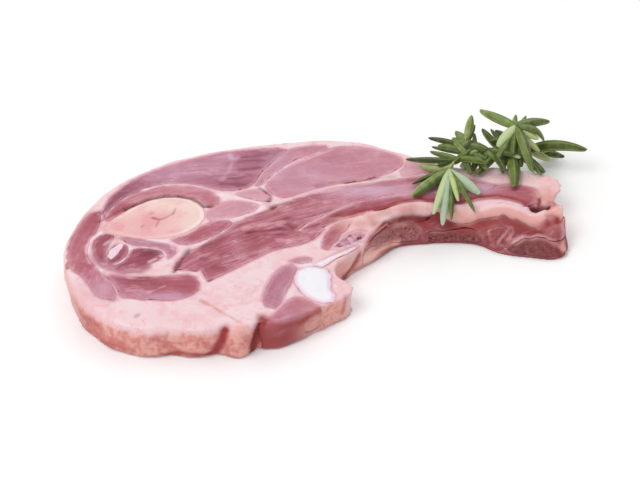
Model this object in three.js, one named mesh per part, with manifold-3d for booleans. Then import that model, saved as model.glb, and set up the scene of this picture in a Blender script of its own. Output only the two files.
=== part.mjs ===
// A raw lamb shoulder chop, sawn straight across the shoulder. Seen from above, the round arm
// bone lies on the left among the shank muscles, a broad pad of fat runs along the front, the
// breast cartilage sits in a lobe by the notch, and a narrow arm of rib meat reaches to the right.
//
// Every muscle, bone and sinew runs through the slice, so each one is a plug of its own in the
// body of fat, whose thin walls are the seams between the muscles. Along the rib arm the cut
// leans back, and there the bones are bars let into its sloping front.
//
// Millimetres. X runs along the chop towards the rib end, Y from the breast side to the back,
// Z up. The origin is the middle of the underside of the whole part's box.
import * as THREE from "three";
import { mergeVertices } from "three/addons/utils/BufferGeometryUtils.js";
import Module from "manifold-3d";

const wasm = await Module();
wasm.setup();

// ---- Driving dimensions -------------------------------------------------------------------

const THICKNESS = 15; // of the slice, at its middle
const SEAM = 0.6; // fat between two neighbouring muscles
const CLEARANCE = 0.3; // between two pieces that touch
const LONGEST_SIDE = 4; // of a faceted outline
const SHORTEST_SIDE = 1.6;
const SIDES_LEAST = 14; // of a small outline
const GRID = 5.5; // of the mesh that carries the swell of the cut face
const LEAST_MITRE = 0.35; // how sharp a corner stays when a loop is grown
const FINENESS = 0.1; // facets flatter than this are merged
const SPRIG_FINENESS = 0.28;
const ABOVE = 16; // how far a cutting prism reaches past the slice, above and below
const RIB_DEPTH = 9; // of a rib bone, measured from the foot of the sloping front

// Swells and hollows of the cut face: where, how wide along X and Y, and how high.
const SWELLS = [
  { x: 6, y: -36, wide: 20, deep: 24, rise: -3.8 }, // the breast lobe is thinner
  { x: 18, y: -6, wide: 14, deep: 11, rise: -3.5 }, // so is the neck beside the notch
  { x: -62, y: -62, wide: 45, deep: 14, rise: -2.3 }, // edge of the fat pad
  { x: -72, y: 12, wide: 22, deep: 14, rise: 0.5 }, // round bone
  { x: -105, y: -10, wide: 15, deep: 30, rise: -1 }, // outer end
  { x: 45, y: 21, wide: 16, deep: 8, rise: 1.5 }, // waves of the fat along the rib arm
  { x: 58, y: 20, wide: 7, deep: 8, rise: -1 },
  { x: 76, y: 21, wide: 11, deep: 9, rise: 3 },
  { x: 93, y: 18, wide: 7, deep: 8, rise: -2.5 },
  { x: 102, y: 20, wide: 6, deep: 7, rise: 2.5 },
  { x: 96, y: 26, wide: 4, deep: 6, rise: -5 }, // pit behind the rib end
  { x: 88, y: 47, wide: 22, deep: 7, rise: -1.5 }, // roll of fat along the back of the arm
];

// The rim of the chop, anticlockwise from its outer end. Each row holds a point of the rim at
// half height, and the point where the rounded or sloping edge meets the cut face above it.
const RIM = [
  [-108, -8, -105, -8], // outer end
  [-104.6, -20, -102.2, -19.5],
  [-100.2, -32, -98, -30.5],
  [-95.3, -43, -92.7, -41],
  [-87.8, -51.2, -85, -48.5],
  [-80, -56.8, -77.5, -53.5],
  [-71, -60, -70, -56], // front of the fat pad
  [-60, -59, -59, -56],
  [-48, -60, -48, -57],
  [-39, -58, -39, -55.5], // first crease
  [-33, -60, -33, -57],
  [-28, -58, -28, -55],
  [-24.5, -55, -24.5, -53], // second crease
  [-17, -54.5, -17, -53],
  [-6, -47.8, -6.5, -46.3],
  [3, -41.2, 2, -39.6],
  [9, -36.8, 8.6, -36], // tip of the breast lobe
  [11.4, -33, 12.8, -32.8],
  [12.4, -28.6, 13.8, -30],
  [10.4, -24.8, 11.2, -27.4],
  [7, -21, 7.4, -25.4],
  [5.8, -17.2, 5.9, -21.5], // notch
  [6.4, -13.2, 6.2, -17],
  [10.3, -9.7, 9.8, -11.5],
  [15, -5.2, 14.6, -6],
  [19.5, -1.6, 19.3, 0.5],
  [26, 4.5, 25, 10],
  [33, 11, 33, 18], // sloping front of the rib arm
  [44, 13, 44, 21.5],
  [56, 14, 56, 22],
  [68, 12.5, 68, 22],
  [77, 6.5, 77, 22],
  [88, 4, 88, 20.5],
  [101, 2.5, 100.5, 18],
  [105, 5, 103.8, 18.5], // rib end
  [106, 13, 104.5, 20],
  [104.8, 19.5, 103.2, 22],
  [101.6, 25.5, 101, 26.4], // cleft in the rib end, and the lip beyond it
  [101.6, 30, 102.2, 30.6],
  [102.6, 34.2, 105.6, 33.6],
  [103.2, 38.8, 106.6, 37.8],
  [102.8, 43, 104.8, 41.8],
  [99.5, 47.4, 98.3, 45.6], // back
  [90, 50.4, 89, 48.6],
  [79.5, 52.6, 79, 50.8],
  [69.5, 51.4, 69, 49.6],
  [59, 52, 58, 50],
  [46, 57.8, 45, 56],
  [32, 65.5, 31, 63.5],
  [17, 71.5, 16.5, 69.5],
  [0, 73.5, 0, 71.5],
  [-18, 71, -17.5, 69],
  [-36, 67.5, -35, 65.5],
  [-54, 62, -53, 60],
  [-70, 54.5, -69, 52.5],
  [-83, 45, -81.5, 43.2],
  [-93, 34, -91.3, 32.5],
  [-100, 22, -98, 21],
  [-106, 7, -103.3, 6],
];

// Outlines of what runs through the slice, from above. A piece gives way to those before it.
const THROUGH = [
  {
    name: "round_bone",
    kind: "bone",
    outline: [
      [-91, 6], [-84, 1.5], [-72, -1], [-62, 0.5], [-54, 6], [-50, 13],
      [-52, 22], [-59, 27], [-67, 28], [-76, 24], [-84, 16],
    ],
  },
  {
    name: "breast_cartilage",
    kind: "cartilage",
    outline: [
      [-9, -21], [-5, -18.5], [2, -19], [4, -22], [4, -30], [6, -36],
      [3.5, -39], [-2, -38], [-7, -34], [-10, -28],
    ],
  },
  {
    name: "breast_sinew",
    kind: "sinew",
    outline: [
      [-2.5, -17.2], [3, -12], [9, -7.2], [14.5, -3.2], [16, -2.2], [15.6, -3.4],
      [12.5, -6.4], [8.6, -9.6], [4.4, -13.8], [1.5, -17.2],
    ],
  },
  {
    name: "shank_sinew",
    kind: "sinew",
    outline: [[-87.4, -10], [-85, -6.6], [-82.8, -5], [-83.4, -8.6], [-85.4, -12.8], [-86.6, -14.4]],
  },
  {
    name: "neck_bone",
    kind: "marrow",
    outline: [[5, -5.2], [7.6, -0.6], [11, 3.2], [15, 5.4], [19, 5.6], [20.3, 3.6], [18, 0.6], [14.6, -1.2], [10, -4]],
  },
  {
    name: "shank_muscle_outer",
    kind: "dark",
    outline: [[-95, -6], [-94, -0.5], [-91, 2.3], [-86, 1.5], [-88.5, -3], [-89.6, -9], [-88.8, -17.5], [-92.5, -14]],
  },
  {
    name: "shank_muscle_top",
    kind: "mauve",
    outline: [
      [-83, -1.8], [-78, -2.2], [-71, -4], [-64, -5], [-60, -8.5], [-61.5, -13.5],
      [-63.6, -15], [-63.2, -11.5], [-67, -7.8], [-77, -5.8], [-81, -4],
    ],
  },
  {
    name: "shank_muscle_eye",
    kind: "dark",
    outline: [[-86, -4.8], [-83.6, -3.8], [-80.8, -6.5], [-80.2, -10.5], [-81.5, -14.5], [-84.5, -17.8], [-87.6, -17.5], [-88.2, -10]],
  },
  {
    name: "shank_muscle_inner",
    kind: "dark",
    outline: [
      [-78.6, -9], [-75, -7.9], [-68, -9.2], [-64.8, -11.8], [-65.4, -14.4],
      [-69, -17], [-72, -20.5], [-79, -22.5], [-85, -20.8], [-81.2, -17.4], [-79.2, -13],
    ],
  },
  {
    name: "muscle_over_bone",
    kind: "rose",
    outline: [
      [-91, 11], [-89.5, 19], [-84, 27], [-77, 32], [-69, 36], [-60, 36.5], [-52, 34.5], [-46, 30],
      [-43.5, 24.5], [-47.6, 21], [-51, 26.4], [-59, 29.5], [-67, 30.2], [-76, 26.4], [-84, 18.8], [-88, 11.5],
    ],
  },
  {
    name: "muscle_under_bone",
    kind: "rose",
    outline: [[-62, -2.5], [-55, 1.5], [-49.5, 7.5], [-44, 10.8], [-38, 11], [-38, 8], [-42, 3.5], [-48, -1.5], [-56, -5.5]],
  },
  {
    name: "muscle_beside_bone",
    kind: "pale",
    outline: [[-48.2, 14], [-46.5, 19.5], [-42, 23.5], [-36, 25], [-30, 24], [-26, 21.5], [-29, 18], [-35, 14.8], [-41, 12.8], [-47, 11.4]],
  },
  {
    name: "muscle_small_back",
    kind: "pale",
    outline: [[-36, 30.5], [-30, 33.2], [-25.5, 33.2], [-22.5, 30], [-21.2, 26.4], [-25, 25.6], [-31, 28]],
  },
  {
    name: "muscle_back_long",
    kind: "mauve",
    outline: [
      [-92.5, 13], [-92.8, 21], [-89.5, 30.4], [-82.6, 39.8], [-73.4, 47.6], [-60.2, 55], [-46, 60.9], [-30, 64.4], [-16, 64.8],
      [-20, 57], [-26, 47], [-29.5, 38], [-35, 34], [-43, 33.5], [-52, 37], [-61, 38.5], [-70, 38], [-79, 33.5],
      [-86, 27], [-90, 19],
    ],
  },
  {
    name: "muscle_back_wedge",
    kind: "pale",
    outline: [
      [-13.5, 64.5], [-6, 66.8], [2, 67.5], [4, 66.5], [-3, 62.3], [-11, 57],
      [-18, 50], [-22.8, 42.5], [-25, 37.8], [-28, 36.5], [-28.2, 39.5], [-24.8, 47], [-19, 56],
    ],
  },
  {
    name: "muscle_back_right",
    kind: "pale",
    outline: [
      [7, 66.2], [16, 66.5], [26, 63.5], [36, 58], [37, 54], [33, 48.5], [24, 43.5], [11, 39.5], [-1, 35.5],
      [-10, 30.5], [-15.5, 28], [-19.5, 30], [-23.5, 36.5], [-21, 42], [-16, 49], [-9, 55.5], [-1, 61.3],
    ],
  },
  {
    name: "muscle_small_right",
    kind: "pale",
    outline: [[39, 56], [45, 54.5], [52, 50.5], [50, 47.5], [45, 46.5], [38, 44.5], [35.5, 46], [38.5, 51]],
  },
  {
    name: "muscle_outer",
    kind: "rose",
    outline: [
      [-94.5, 18.4], [-98.2, 16.2], [-101.5, 7.8], [-103.9, -1], [-104.7, -10], [-103, -19.5], [-97, -26], [-93, -33],
      [-90, -38.5], [-85, -41], [-82, -39.5], [-84, -33], [-88, -26], [-93.5, -18.5], [-97, -10], [-96.8, -2], [-94.5, 5],
    ],
  },
  {
    name: "muscle_front",
    kind: "rose",
    outline: [
      [-86, -25.5], [-78, -27.2], [-69, -27.6], [-60, -26.6], [-53, -25.5], [-50, -29],
      [-49, -34], [-53, -39], [-62, -41.5], [-66, -40.6], [-72, -40.8], [-76, -39.6], [-80, -39.2], [-84, -32],
    ],
  },
  {
    name: "muscle_breast_curved",
    kind: "mauve",
    outline: [
      [-23, -41], [-22, -34], [-19, -25], [-14, -18.5], [-10, -17.6], [-10.5, -22],
      [-12, -29], [-14.5, -35], [-16, -42], [-18.5, -45.5], [-22, -44],
    ],
  },
  {
    name: "muscle_breast_corner",
    kind: "rose",
    outline: [
      [-26, -64], [-22.5, -54], [-18.5, -50], [-15, -44], [-11.5, -39], [-7.5, -37], [-3.5, -39.8],
      [0, -42], [3.5, -45], [-2, -56], [-14, -64],
    ],
  },
  {
    name: "muscle_breast_sliver",
    kind: "mauve",
    outline: [[-11, -14.8], [-7.5, -12.9], [-3.4, -13.4], [-4.6, -15.4], [-8, -16.2]],
  },
  {
    name: "muscle_neck",
    kind: "rose",
    outline: [[2, 1], [4.5, 6.5], [8.5, 10.5], [13, 11], [10.5, 6], [6.5, 0.5], [4, -6.5], [1.4, -6]],
  },
  {
    name: "muscle_rib_cover",
    kind: "rose",
    outline: [
      [-8, 5.5], [0, 12.5], [9, 19.5], [18, 24.5], [30, 28.2], [44, 30.6], [56, 31.2], [68, 30.6],
      [74, 31.6], [77, 35.4], [81, 38.2], [88, 37.4], [94, 34.6], [95.4, 30.6], [92.6, 26.4], [89, 23.6],
      [78, 24.4], [66, 24.2], [54, 23.8], [42, 24.2], [30, 21.5], [22, 18], [13, 14.2], [4.5, 10.5], [-2, 4.5],
    ],
  },
  {
    name: "muscle_middle_long",
    kind: "grained",
    outline: [
      [-60, -21], [-56, -13], [-50, -6.5], [-41, 3], [-34, 10.5], [-25, 16.5], [-15, 23], [-5, 30],
      [8, 35], [24, 38.8], [40, 42.8], [52, 45.2], [63, 43], [71, 40.2], [76, 37.6], [74, 32.4], [66, 28], [54, 27],
      [40, 25], [26, 18.8], [13, 13.6], [4, 9], [-3, -1], [-12, -5.8], [-20, -9], [-28, -15.5],
      [-39, -24.5], [-46, -29], [-48.5, -22], [-54, -22.5],
    ],
  },
];

// The meat of the rib arm: its outline from above, and the underside of the fat that covers it,
// as X and Z.
const RIB_MEAT = [
  [18, -6], [40, -8], [110, -8], [112, 14], [108, 19.5], [100, 20.6], [86, 21], [76, 21],
  [62, 19.5], [44, 18.2], [33, 14.5], [25, 7.5],
];
const RIB_FAT_UNDERSIDE = [
  [14, 13], [26, 14], [34, 13.4], [45, 12.2], [52, 11], [58, 8], [65, 9.5], [71, 12.4],
  [77, 13.6], [86, 11.5], [94, 9.2], [99, 10], [103, 13], [112, 14],
];

// Rib bones on the sloping front of the arm, as seen from the front: X and Z.
const RIB_BONES = [
  {
    name: "rib_bone_first",
    foot: 11,
    outline: [
      [20, 10], [25.6, 11.2], [31, 10], [36, 9.2], [40, 9.6], [43, 6.5], [43, 3.2], [36, 2.8], [30, 4.2], [24, 7],
    ],
  },
  {
    name: "rib_bone_second",
    foot: 13.5,
    outline: [[46, 5], [53.5, 5], [61, 6.4], [66.5, 6.3], [70, 4], [68.5, 1.8], [58, 1.6], [46.5, 1.6]],
  },
  {
    name: "rib_knuckle",
    foot: 6,
    outline: [[71, 5], [72.5, 8], [76, 9.6], [79.5, 9.1], [81.2, 7], [79.8, 3.6], [76, 1.5], [72.5, 2.6]],
  },
  {
    name: "rib_bone_end",
    foot: 3,
    outline: [[80.5, 2.4], [85, 4.5], [91.5, 6], [98, 5.6], [110, 4.2], [110, 2.2], [98, 1.8], [91, 1.5], [85, 1.5]],
  },
];

// The shoots of a rosemary sprig that lies across the rib end, its cut end on the table. A leaf
// grows at a share of its shoot's path, and has a heading and a pitch in degrees, a length, a
// width, and how far its middle bows up.
const SHOOTS = [
  {
    path: [
      [56.5, 41.5, 20.5], [60, 46.5, 22], [65.5, 50.5, 22.5], [72, 55.5, 21],
      [81, 61.5, 17.5], [93.5, 71, 10.5], [104, 77.5, 4.5], [111, 81, 1.4],
    ],
    thickness: 2.2,
    leaves: [
      [0, 144, -6, 24, 3.3, 1], [0.05, 149, -7, 15, 5, -2], [0, -160, -9, 18, 2.6, 1],
      [0, -136, -6, 24, 5, 1.5], [0, -105, -5, 31, 3.6, 1.5], [0, -100, -12, 33, 4.1, 2.5],
      [0, -81, -6, 21, 3, 1.5], [0, -88, -11, 30, 2.7, 1.5], [0, -69, -5, 30, 2.4, 1.5],
      [0, -50, -7, 20, 5, 1.5], [0, -69, -8, 15, 2.9, 1], [0.25, 143, 0, 24, 3.3, 1],
      [0.25, 158, -4, 18, 5, 1], [0.35, 164, 10, 17, 4.9, 1.5], [0.2, 157, -10, 19, 2.3, 0.5],
      [0.25, -140, -18, 11, 3.9, 1], [0.2, -115, -28, 9, 3.3, 1], [0.3, -116, -13, 14, 3.3, 1.5],
      [0.45, -120, 0, 23, 4.4, 2], [0.35, -104, -11, 10, 3.7, 1.5], [0.3, -33, -18, 8, 5, 1.5],
      [0.2, -11, -25, 8, 3.3, 1], [0.45, 125, 14, 14, 3.6, 1], [0.5, 118, 16, 13, 2.5, 1],
      [0.55, -96, 4, 33, 5, 3], [0.65, -119, 13, 24, 4.2, 2], [0.6, -86, 10, 19, 3.5, 2],
      [0.7, -14, 1, 27, 5, 5], [0.8, 6, -13, 14, 4, 1.5], [0.75, -23, -16, 10, 3.9, 1],
      [0.75, -10, 16, 12, 4, 1.5], [0.55, -52, 3, 24, 4.4, 2], [0.6, -70, 6, 26, 3.3, 2],
      [0.7, -88, 13, 22, 3.5, 1.5],
    ],
  },
  {
    path: [[84, 63, 16], [85, 63, 21], [86.5, 64, 25], [87.5, 65, 27.5]],
    thickness: 1.8,
    leaves: [
      [1, 145, 5, 19, 5, 1.5], [1, 23, -2, 17, 4.9, 2.5], [1, -6, -26, 15, 3.4, 5],
      [1, -132, -19, 14, 5, 2], [0.9, -117, -27, 19, 4.2, 2.5], [0.95, -100, -24, 14, 5, 1.5],
      [1, -76, -30, 11, 2.9, 1.5], [1, -73, -27, 24, 4.8, 4], [0.95, -75, -33, 17, 4.3, 3],
      [1, -22, -21, 12, 3.8, 1], [0.8, -19, -30, 15, 3.9, 1.5], [0.5, 151, 14, 8, 3.2, 1],
      [0.85, 83, 12, 10, 2.8, 0], [0.7, 55, 18, 12, 2.4, 0], [0.55, -176, -14, 10, 3.3, 1],
    ],
  },
  {
    path: [[69.5, 54, 21], [66.5, 56, 23.5], [65.5, 58, 26]],
    thickness: 1.6,
    leaves: [
      [0.9, 81, 14, 15, 4.2, 0.5], [0.4, 120, 11, 12, 4.6, 1], [0.9, 62, 17, 9, 2.4, 0],
      [0.2, 78, 20, 9, 2.3, 0.5], [0.55, 158, 4, 8, 4.3, 1], [0.55, -17, -6, 8, 4.3, 1.5],
      [0.75, -144, -14, 4, 4, 1],
    ],
  },
];
const LEAF_THICKNESS = 0.9;
const BURIED = 0.8; // of a leaf's foot in its shoot
const FACING = 25; // degrees that a leaf along X turns its upper side towards the front

// Colour, roughness of each kind of tissue.
const FINISHES = {
  fat: [0xf0d6d2, 0.45],
  bone: [0xecccc0, 0.55],
  cartilage: [0xf4eef2, 0.35],
  sinew: [0xf2dde2, 0.35],
  marrow: [0x9c6a72, 0.6],
  dark: [0x9c5468, 0.4],
  mauve: [0xb27a90, 0.4],
  rose: [0xb45c70, 0.4],
  pale: [0xcf97a5, 0.4],
  grained: [0xb8687e, 0.45],
  rib_meat: [0xa8444e, 0.4],
  rosemary: [0x5f7a4c, 0.6],
};

// ---- Curves and solids --------------------------------------------------------------------

// Points along a closed smooth curve through the given ones, evenly spaced.
function smoothLoop(points) {
  const curve = new THREE.CatmullRomCurve3(
    points.map(([x, y]) => new THREE.Vector3(x, y, 0)), true, "centripetal",
  );
  const length = curve.getLength();
  const side = THREE.MathUtils.clamp(length / SIDES_LEAST, SHORTEST_SIDE, LONGEST_SIDE);
  return curve.getSpacedPoints(Math.round(length / side)).slice(0, -1)
    .map((p) => new THREE.Vector2(p.x, p.y));
}

// The loop moved outwards by a distance, with each side kept parallel to where it was.
function grown(loop, distance) {
  const turn = THREE.ShapeUtils.isClockWise(loop) ? -1 : 1;
  const outward = (from, to) => new THREE.Vector2(to.y - from.y, from.x - to.x)
    .normalize().multiplyScalar(turn);
  return loop.map((p, i) => {
    const before = outward(loop[(i + loop.length - 1) % loop.length], p);
    const after = outward(p, loop[(i + 1) % loop.length]);
    const between = before.clone().add(after).normalize();
    const mitre = Math.max(between.dot(after), LEAST_MITRE);
    return p.clone().addScaledVector(between, distance / mitre);
  });
}

// A closed three.js geometry as a solid that can be joined and cut.
function solidOf(geometry) {
  const bare = geometry.clone();
  bare.deleteAttribute("normal");
  bare.deleteAttribute("uv");
  const merged = mergeVertices(bare, 1e-4);
  return new wasm.Manifold(new wasm.Mesh({
    numProp: 3,
    vertProperties: new Float32Array(merged.attributes.position.array),
    triVerts: new Uint32Array(merged.index.array),
  }));
}

// A prism of a loop, standing on the XY plane and reaching past the slice both ways.
function prism(loop) {
  const depth = THICKNESS + 2 * ABOVE;
  const geometry = new THREE.ExtrudeGeometry(new THREE.Shape(loop), { depth, bevelEnabled: false });
  return solidOf(geometry.translate(0, 0, -ABOVE));
}

// A prism of a loop in X and Z, running along Y from the front to a given depth.
function frontPrism(loop, backY) {
  const frontY = -20;
  const geometry = new THREE.ExtrudeGeometry(
    new THREE.Shape(loop), { depth: backY - frontY, bevelEnabled: false },
  );
  return solidOf(geometry.rotateX(Math.PI / 2).translate(0, backY, 0));
}

// Height of the cut face above the underside.
function faceHeight(x, y) {
  return SWELLS.reduce((height, s) => {
    const reach = ((x - s.x) / s.wide) ** 2 + ((y - s.y) / s.deep) ** 2;
    return height + s.rise * Math.exp(-reach);
  }, THICKNESS);
}

// Everything under the swelling cut face, as a slab wider than the chop.
function underCutFace() {
  const width = 230;
  const depth = 150;
  const middleY = 5;
  const box = new THREE.BoxGeometry(
    width, depth, 1, Math.round(width / GRID), Math.round(depth / GRID), 1,
  ).translate(0, middleY, 0);
  const at = box.attributes.position;
  for (let i = 0; i < at.count; i += 1) {
    at.setZ(i, at.getZ(i) > 0 ? faceHeight(at.getX(i), at.getY(i)) : -ABOVE / 2);
  }
  return solidOf(box);
}

// How far the edge has drawn in from the rim at a share of the height: a round shoulder where
// it draws in little, and a straight slope where it draws in a lot.
function drawIn(share, reach) {
  const foot = 0.1;
  const shoulder = 0.6;
  const over = Math.max(0, (share - shoulder) / (1 - shoulder));
  const round = 0.15 * share + 0.85 * (1 - Math.sqrt(Math.max(0, 1 - over * over)));
  const slope = THREE.MathUtils.smoothstep(reach, 3.5, 9);
  const tuck = share < foot ? (1 - share / foot) * 1.2 / Math.max(reach, 2) : 0;
  return THREE.MathUtils.lerp(round, share, slope) + tuck;
}

// The slice within its rim, reaching above the cut face.
function withinRim() {
  const rim = smoothLoop(RIM.map(([x, y]) => [x, y]));
  const curve = (from) => new THREE.CatmullRomCurve3(
    RIM.map((row) => new THREE.Vector3(row[from], row[from + 1], 0)), true, "centripetal",
  );
  const [low, high] = [curve(0), curve(2)];
  const levels = [0, 0.1, 0.4, 0.7, 0.85, 0.95, 1.05]; // shares of the height, the last in the air
  const lean = 8; // how fast the edge goes on inwards above the cut face
  const lid = 5; // how far the last level clears the swells of the face
  const geometry = new THREE.ExtrudeGeometry(
    new THREE.Shape(rim), { depth: levels.length - 1, steps: levels.length - 1, bevelEnabled: false },
  );
  // The rim's own loop is evenly spaced, so each of its points has a place along both curves.
  const nearest = (x, y) => rim.reduce(
    (best, p, i) => (Math.hypot(p.x - x, p.y - y) < Math.hypot(rim[best].x - x, rim[best].y - y) ? i : best), 0,
  );
  const at = geometry.attributes.position;
  for (let i = 0; i < at.count; i += 1) {
    const u = nearest(at.getX(i), at.getY(i)) / rim.length;
    const share = levels[Math.round(at.getZ(i))];
    const t = low.getUtoTmapping(u);
    const outer = low.getPoint(t);
    const inner = high.getPoint(t);
    const draw = drawIn(Math.min(share, 1), outer.distanceTo(inner));
    const p = outer.lerp(inner, draw + Math.max(0, share - 1) * lean);
    at.setXYZ(i, p.x, p.y, share * faceHeight(p.x, p.y) + (share > 1 ? lid : 0));
  }
  return solidOf(geometry);
}

// The largest body of a solid: a cut can leave a loose crumb.
function largest(solid) {
  return solid.decompose().sort((a, b) => b.volume() - a.volume())[0];
}

function meshOf(name, kind, solid) {
  const fineness = kind === "rosemary" ? SPRIG_FINENESS : FINENESS;
  const { vertProperties, triVerts } = largest(solid.simplify(fineness)).getMesh();
  const geometry = new THREE.BufferGeometry();
  geometry.setAttribute("position", new THREE.BufferAttribute(vertProperties, 3));
  geometry.setIndex(new THREE.BufferAttribute(triVerts, 1));
  geometry.computeVertexNormals();
  const [color, roughness] = FINISHES[kind];
  const mesh = new THREE.Mesh(
    geometry, new THREE.MeshStandardMaterial({ color, roughness, metalness: 0, flatShading: true }),
  );
  mesh.name = name;
  return mesh;
}

// ---- The chop -----------------------------------------------------------------------------

function chopPieces(slice) {
  const pieces = [];
  let fat = slice;

  // Rib bones first: the rib meat and the fat give way to them.
  const ribPockets = [];
  for (const { name, foot, outline } of RIB_BONES) {
    const loop = smoothLoop(outline);
    const back = foot + RIB_DEPTH;
    pieces.push([name, "bone", largest(frontPrism(loop, back).intersect(slice))]);
    const pocket = frontPrism(grown(loop, CLEARANCE), back + CLEARANCE);
    ribPockets.push(pocket);
    fat = fat.subtract(pocket);
  }

  // What runs through the slice, each piece giving way to those before it.
  const placed = [];
  for (const { name, kind, outline } of THROUGH) {
    const loop = smoothLoop(outline);
    let plug = prism(loop);
    let pocket = prism(grown(loop, CLEARANCE));
    for (const other of placed) {
      plug = plug.subtract(prism(grown(other, SEAM + 2 * CLEARANCE)));
      pocket = pocket.subtract(prism(grown(other, SEAM + CLEARANCE)));
    }
    plug = largest(plug);
    for (const rib of ribPockets) plug = plug.subtract(rib);
    pieces.push([name, kind, largest(plug.intersect(slice))]);
    fat = fat.subtract(largest(pocket));
    placed.push(loop);
  }

  // The rib meat, under its cover of fat.
  const behindArm = 60;
  const [first, last] = [RIB_FAT_UNDERSIDE[0][0], RIB_FAT_UNDERSIDE.at(-1)[0]];
  const underside = new THREE.SplineCurve(RIB_FAT_UNDERSIDE.map(([x, z]) => new THREE.Vector2(x, z)))
    .getSpacedPoints(Math.round((last - first) / LONGEST_SIDE));
  const below = [new THREE.Vector2(last, -ABOVE), new THREE.Vector2(first, -ABOVE)];
  const raised = (rise) => underside.map((p) => new THREE.Vector2(p.x, p.y + rise));
  const meatLoop = smoothLoop(RIB_MEAT);
  let meat = prism(meatLoop).intersect(frontPrism([...below, ...raised(0)], behindArm));
  let meatPocket = prism(grown(meatLoop, CLEARANCE))
    .intersect(frontPrism([...below, ...raised(CLEARANCE)], behindArm));
  for (const other of placed) {
    meat = meat.subtract(prism(grown(other, SEAM + 2 * CLEARANCE)));
    meatPocket = meatPocket.subtract(prism(grown(other, SEAM + CLEARANCE)));
  }
  for (const rib of ribPockets) meat = meat.subtract(rib);
  pieces.push(["muscle_rib", "rib_meat", largest(meat.intersect(slice))]);
  fat = fat.subtract(meatPocket);
  pieces.push(["fat", "fat", largest(fat)]);
  return pieces;
}

// ---- The sprig ----------------------------------------------------------------------------

// A closed skin of rings from one end to the other, each end shut by a point.
function ringed(sides, rings, place) {
  const skin = new THREE.SphereGeometry(1, sides, rings + 1);
  const { position, uv } = skin.attributes;
  for (let i = 0; i < position.count; i += 1) {
    const p = place(1 - uv.getY(i), uv.getX(i) * 2 * Math.PI);
    position.setXYZ(i, p.x, p.y, p.z);
  }
  return solidOf(skin);
}

const UP = new THREE.Vector3(0, 0, 1);

function stem(curve, thickness) {
  const sides = 6;
  const rings = 8;
  const tipShare = 0.6; // of the thickness, at the tip
  return ringed(sides, rings, (row, angle) => {
    // The first and the last ring lie in the plane of their end's point.
    const share = THREE.MathUtils.clamp((row * (rings + 1) - 1) / (rings - 1), 0, 1);
    const isEnd = row < 0.01 || row > 0.99;
    const radius = isEnd ? 0 : THREE.MathUtils.lerp(tipShare, 1, share) * thickness / 2;
    const along = curve.getTangentAt(share);
    const across = new THREE.Vector3().crossVectors(along, UP).normalize();
    const over = new THREE.Vector3().crossVectors(across, along);
    return curve.getPointAt(share)
      .addScaledVector(across, radius * Math.cos(angle))
      .addScaledVector(over, radius * Math.sin(angle));
  });
}

function leaf(root, [, heading, pitch, length, width, bow]) {
  const [turn, tilt] = [heading, pitch].map(THREE.MathUtils.degToRad);
  const along = new THREE.Vector3(
    Math.cos(turn) * Math.cos(tilt), Math.sin(turn) * Math.cos(tilt), Math.sin(tilt),
  );
  const roll = THREE.MathUtils.degToRad(FACING) * Math.cos(turn);
  const across = new THREE.Vector3(Math.sin(turn), -Math.cos(turn), 0).applyAxisAngle(along, roll);
  const over = new THREE.Vector3().crossVectors(across, along);
  const sides = 4;
  const rings = length > 20 ? 4 : 3;
  return ringed(sides, rings, (share, angle) => {
    // Broadest a little before the middle, with blunt ends.
    const isEnd = share < 0.01 || share > 0.99;
    const broad = isEnd ? 0 : Math.sin(Math.PI * share ** 0.9) ** 0.38;
    const side = Math.cos(angle) * broad * width / 2;
    const rise = Math.sin(angle) * broad * LEAF_THICKNESS / 2;
    const rolled = -0.25 * Math.abs(side); // the margins roll under
    return root.clone()
      .addScaledVector(along, share * (length + BURIED) - BURIED)
      .addScaledVector(across, side)
      .addScaledVector(over, rise + rolled + bow * 4 * share * (1 - share));
  });
}

function sprig(slice) {
  const solids = SHOOTS.flatMap(({ path, thickness, leaves }) => {
    const curve = new THREE.CatmullRomCurve3(path.map((p) => new THREE.Vector3(...p)));
    return [stem(curve, thickness), ...leaves.map((row) => leaf(curve.getPointAt(row[0]), row))];
  });
  const whole = solids.reduce((all, solid) => all.add(solid));
  return largest(whole.subtract(slice.translate(0, 0, CLEARANCE)));
}

const slice = withinRim().intersect(underCutFace());
const chop = new THREE.Group();
for (const [name, kind, solid] of chopPieces(slice)) chop.add(meshOf(name, kind, solid));
chop.add(meshOf("rosemary_sprig", "rosemary", sprig(slice)));

// The part's origin is the middle of the underside of its box.
const box = new THREE.Box3().setFromObject(chop);
const middle = box.getCenter(new THREE.Vector3());
chop.position.set(-middle.x, -middle.y, -box.min.z);

const part = new THREE.Group();
part.add(chop);
export default part;
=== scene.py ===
"""Dresses a raw lamb shoulder chop: its fat, muscles, bones and sinews, and a sprig of rosemary.

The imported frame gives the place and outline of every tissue. The body of fat is one closed skin
over the whole slice, and each muscle or bone is a plug let into it, with its cut face raised a
little. Tables below hold what the frame can't: the run of the fibres, creases, streaks and tints.
Lengths in the tables are millimetres in the frame's own axes, and meshes are in metres.
"""

import logging
import math
from collections.abc import Iterator
from dataclasses import dataclass, field
from enum import Enum

import bmesh
import bpy
import numpy as np
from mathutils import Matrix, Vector, noise
from mathutils.bvhtree import BVHTree


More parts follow.
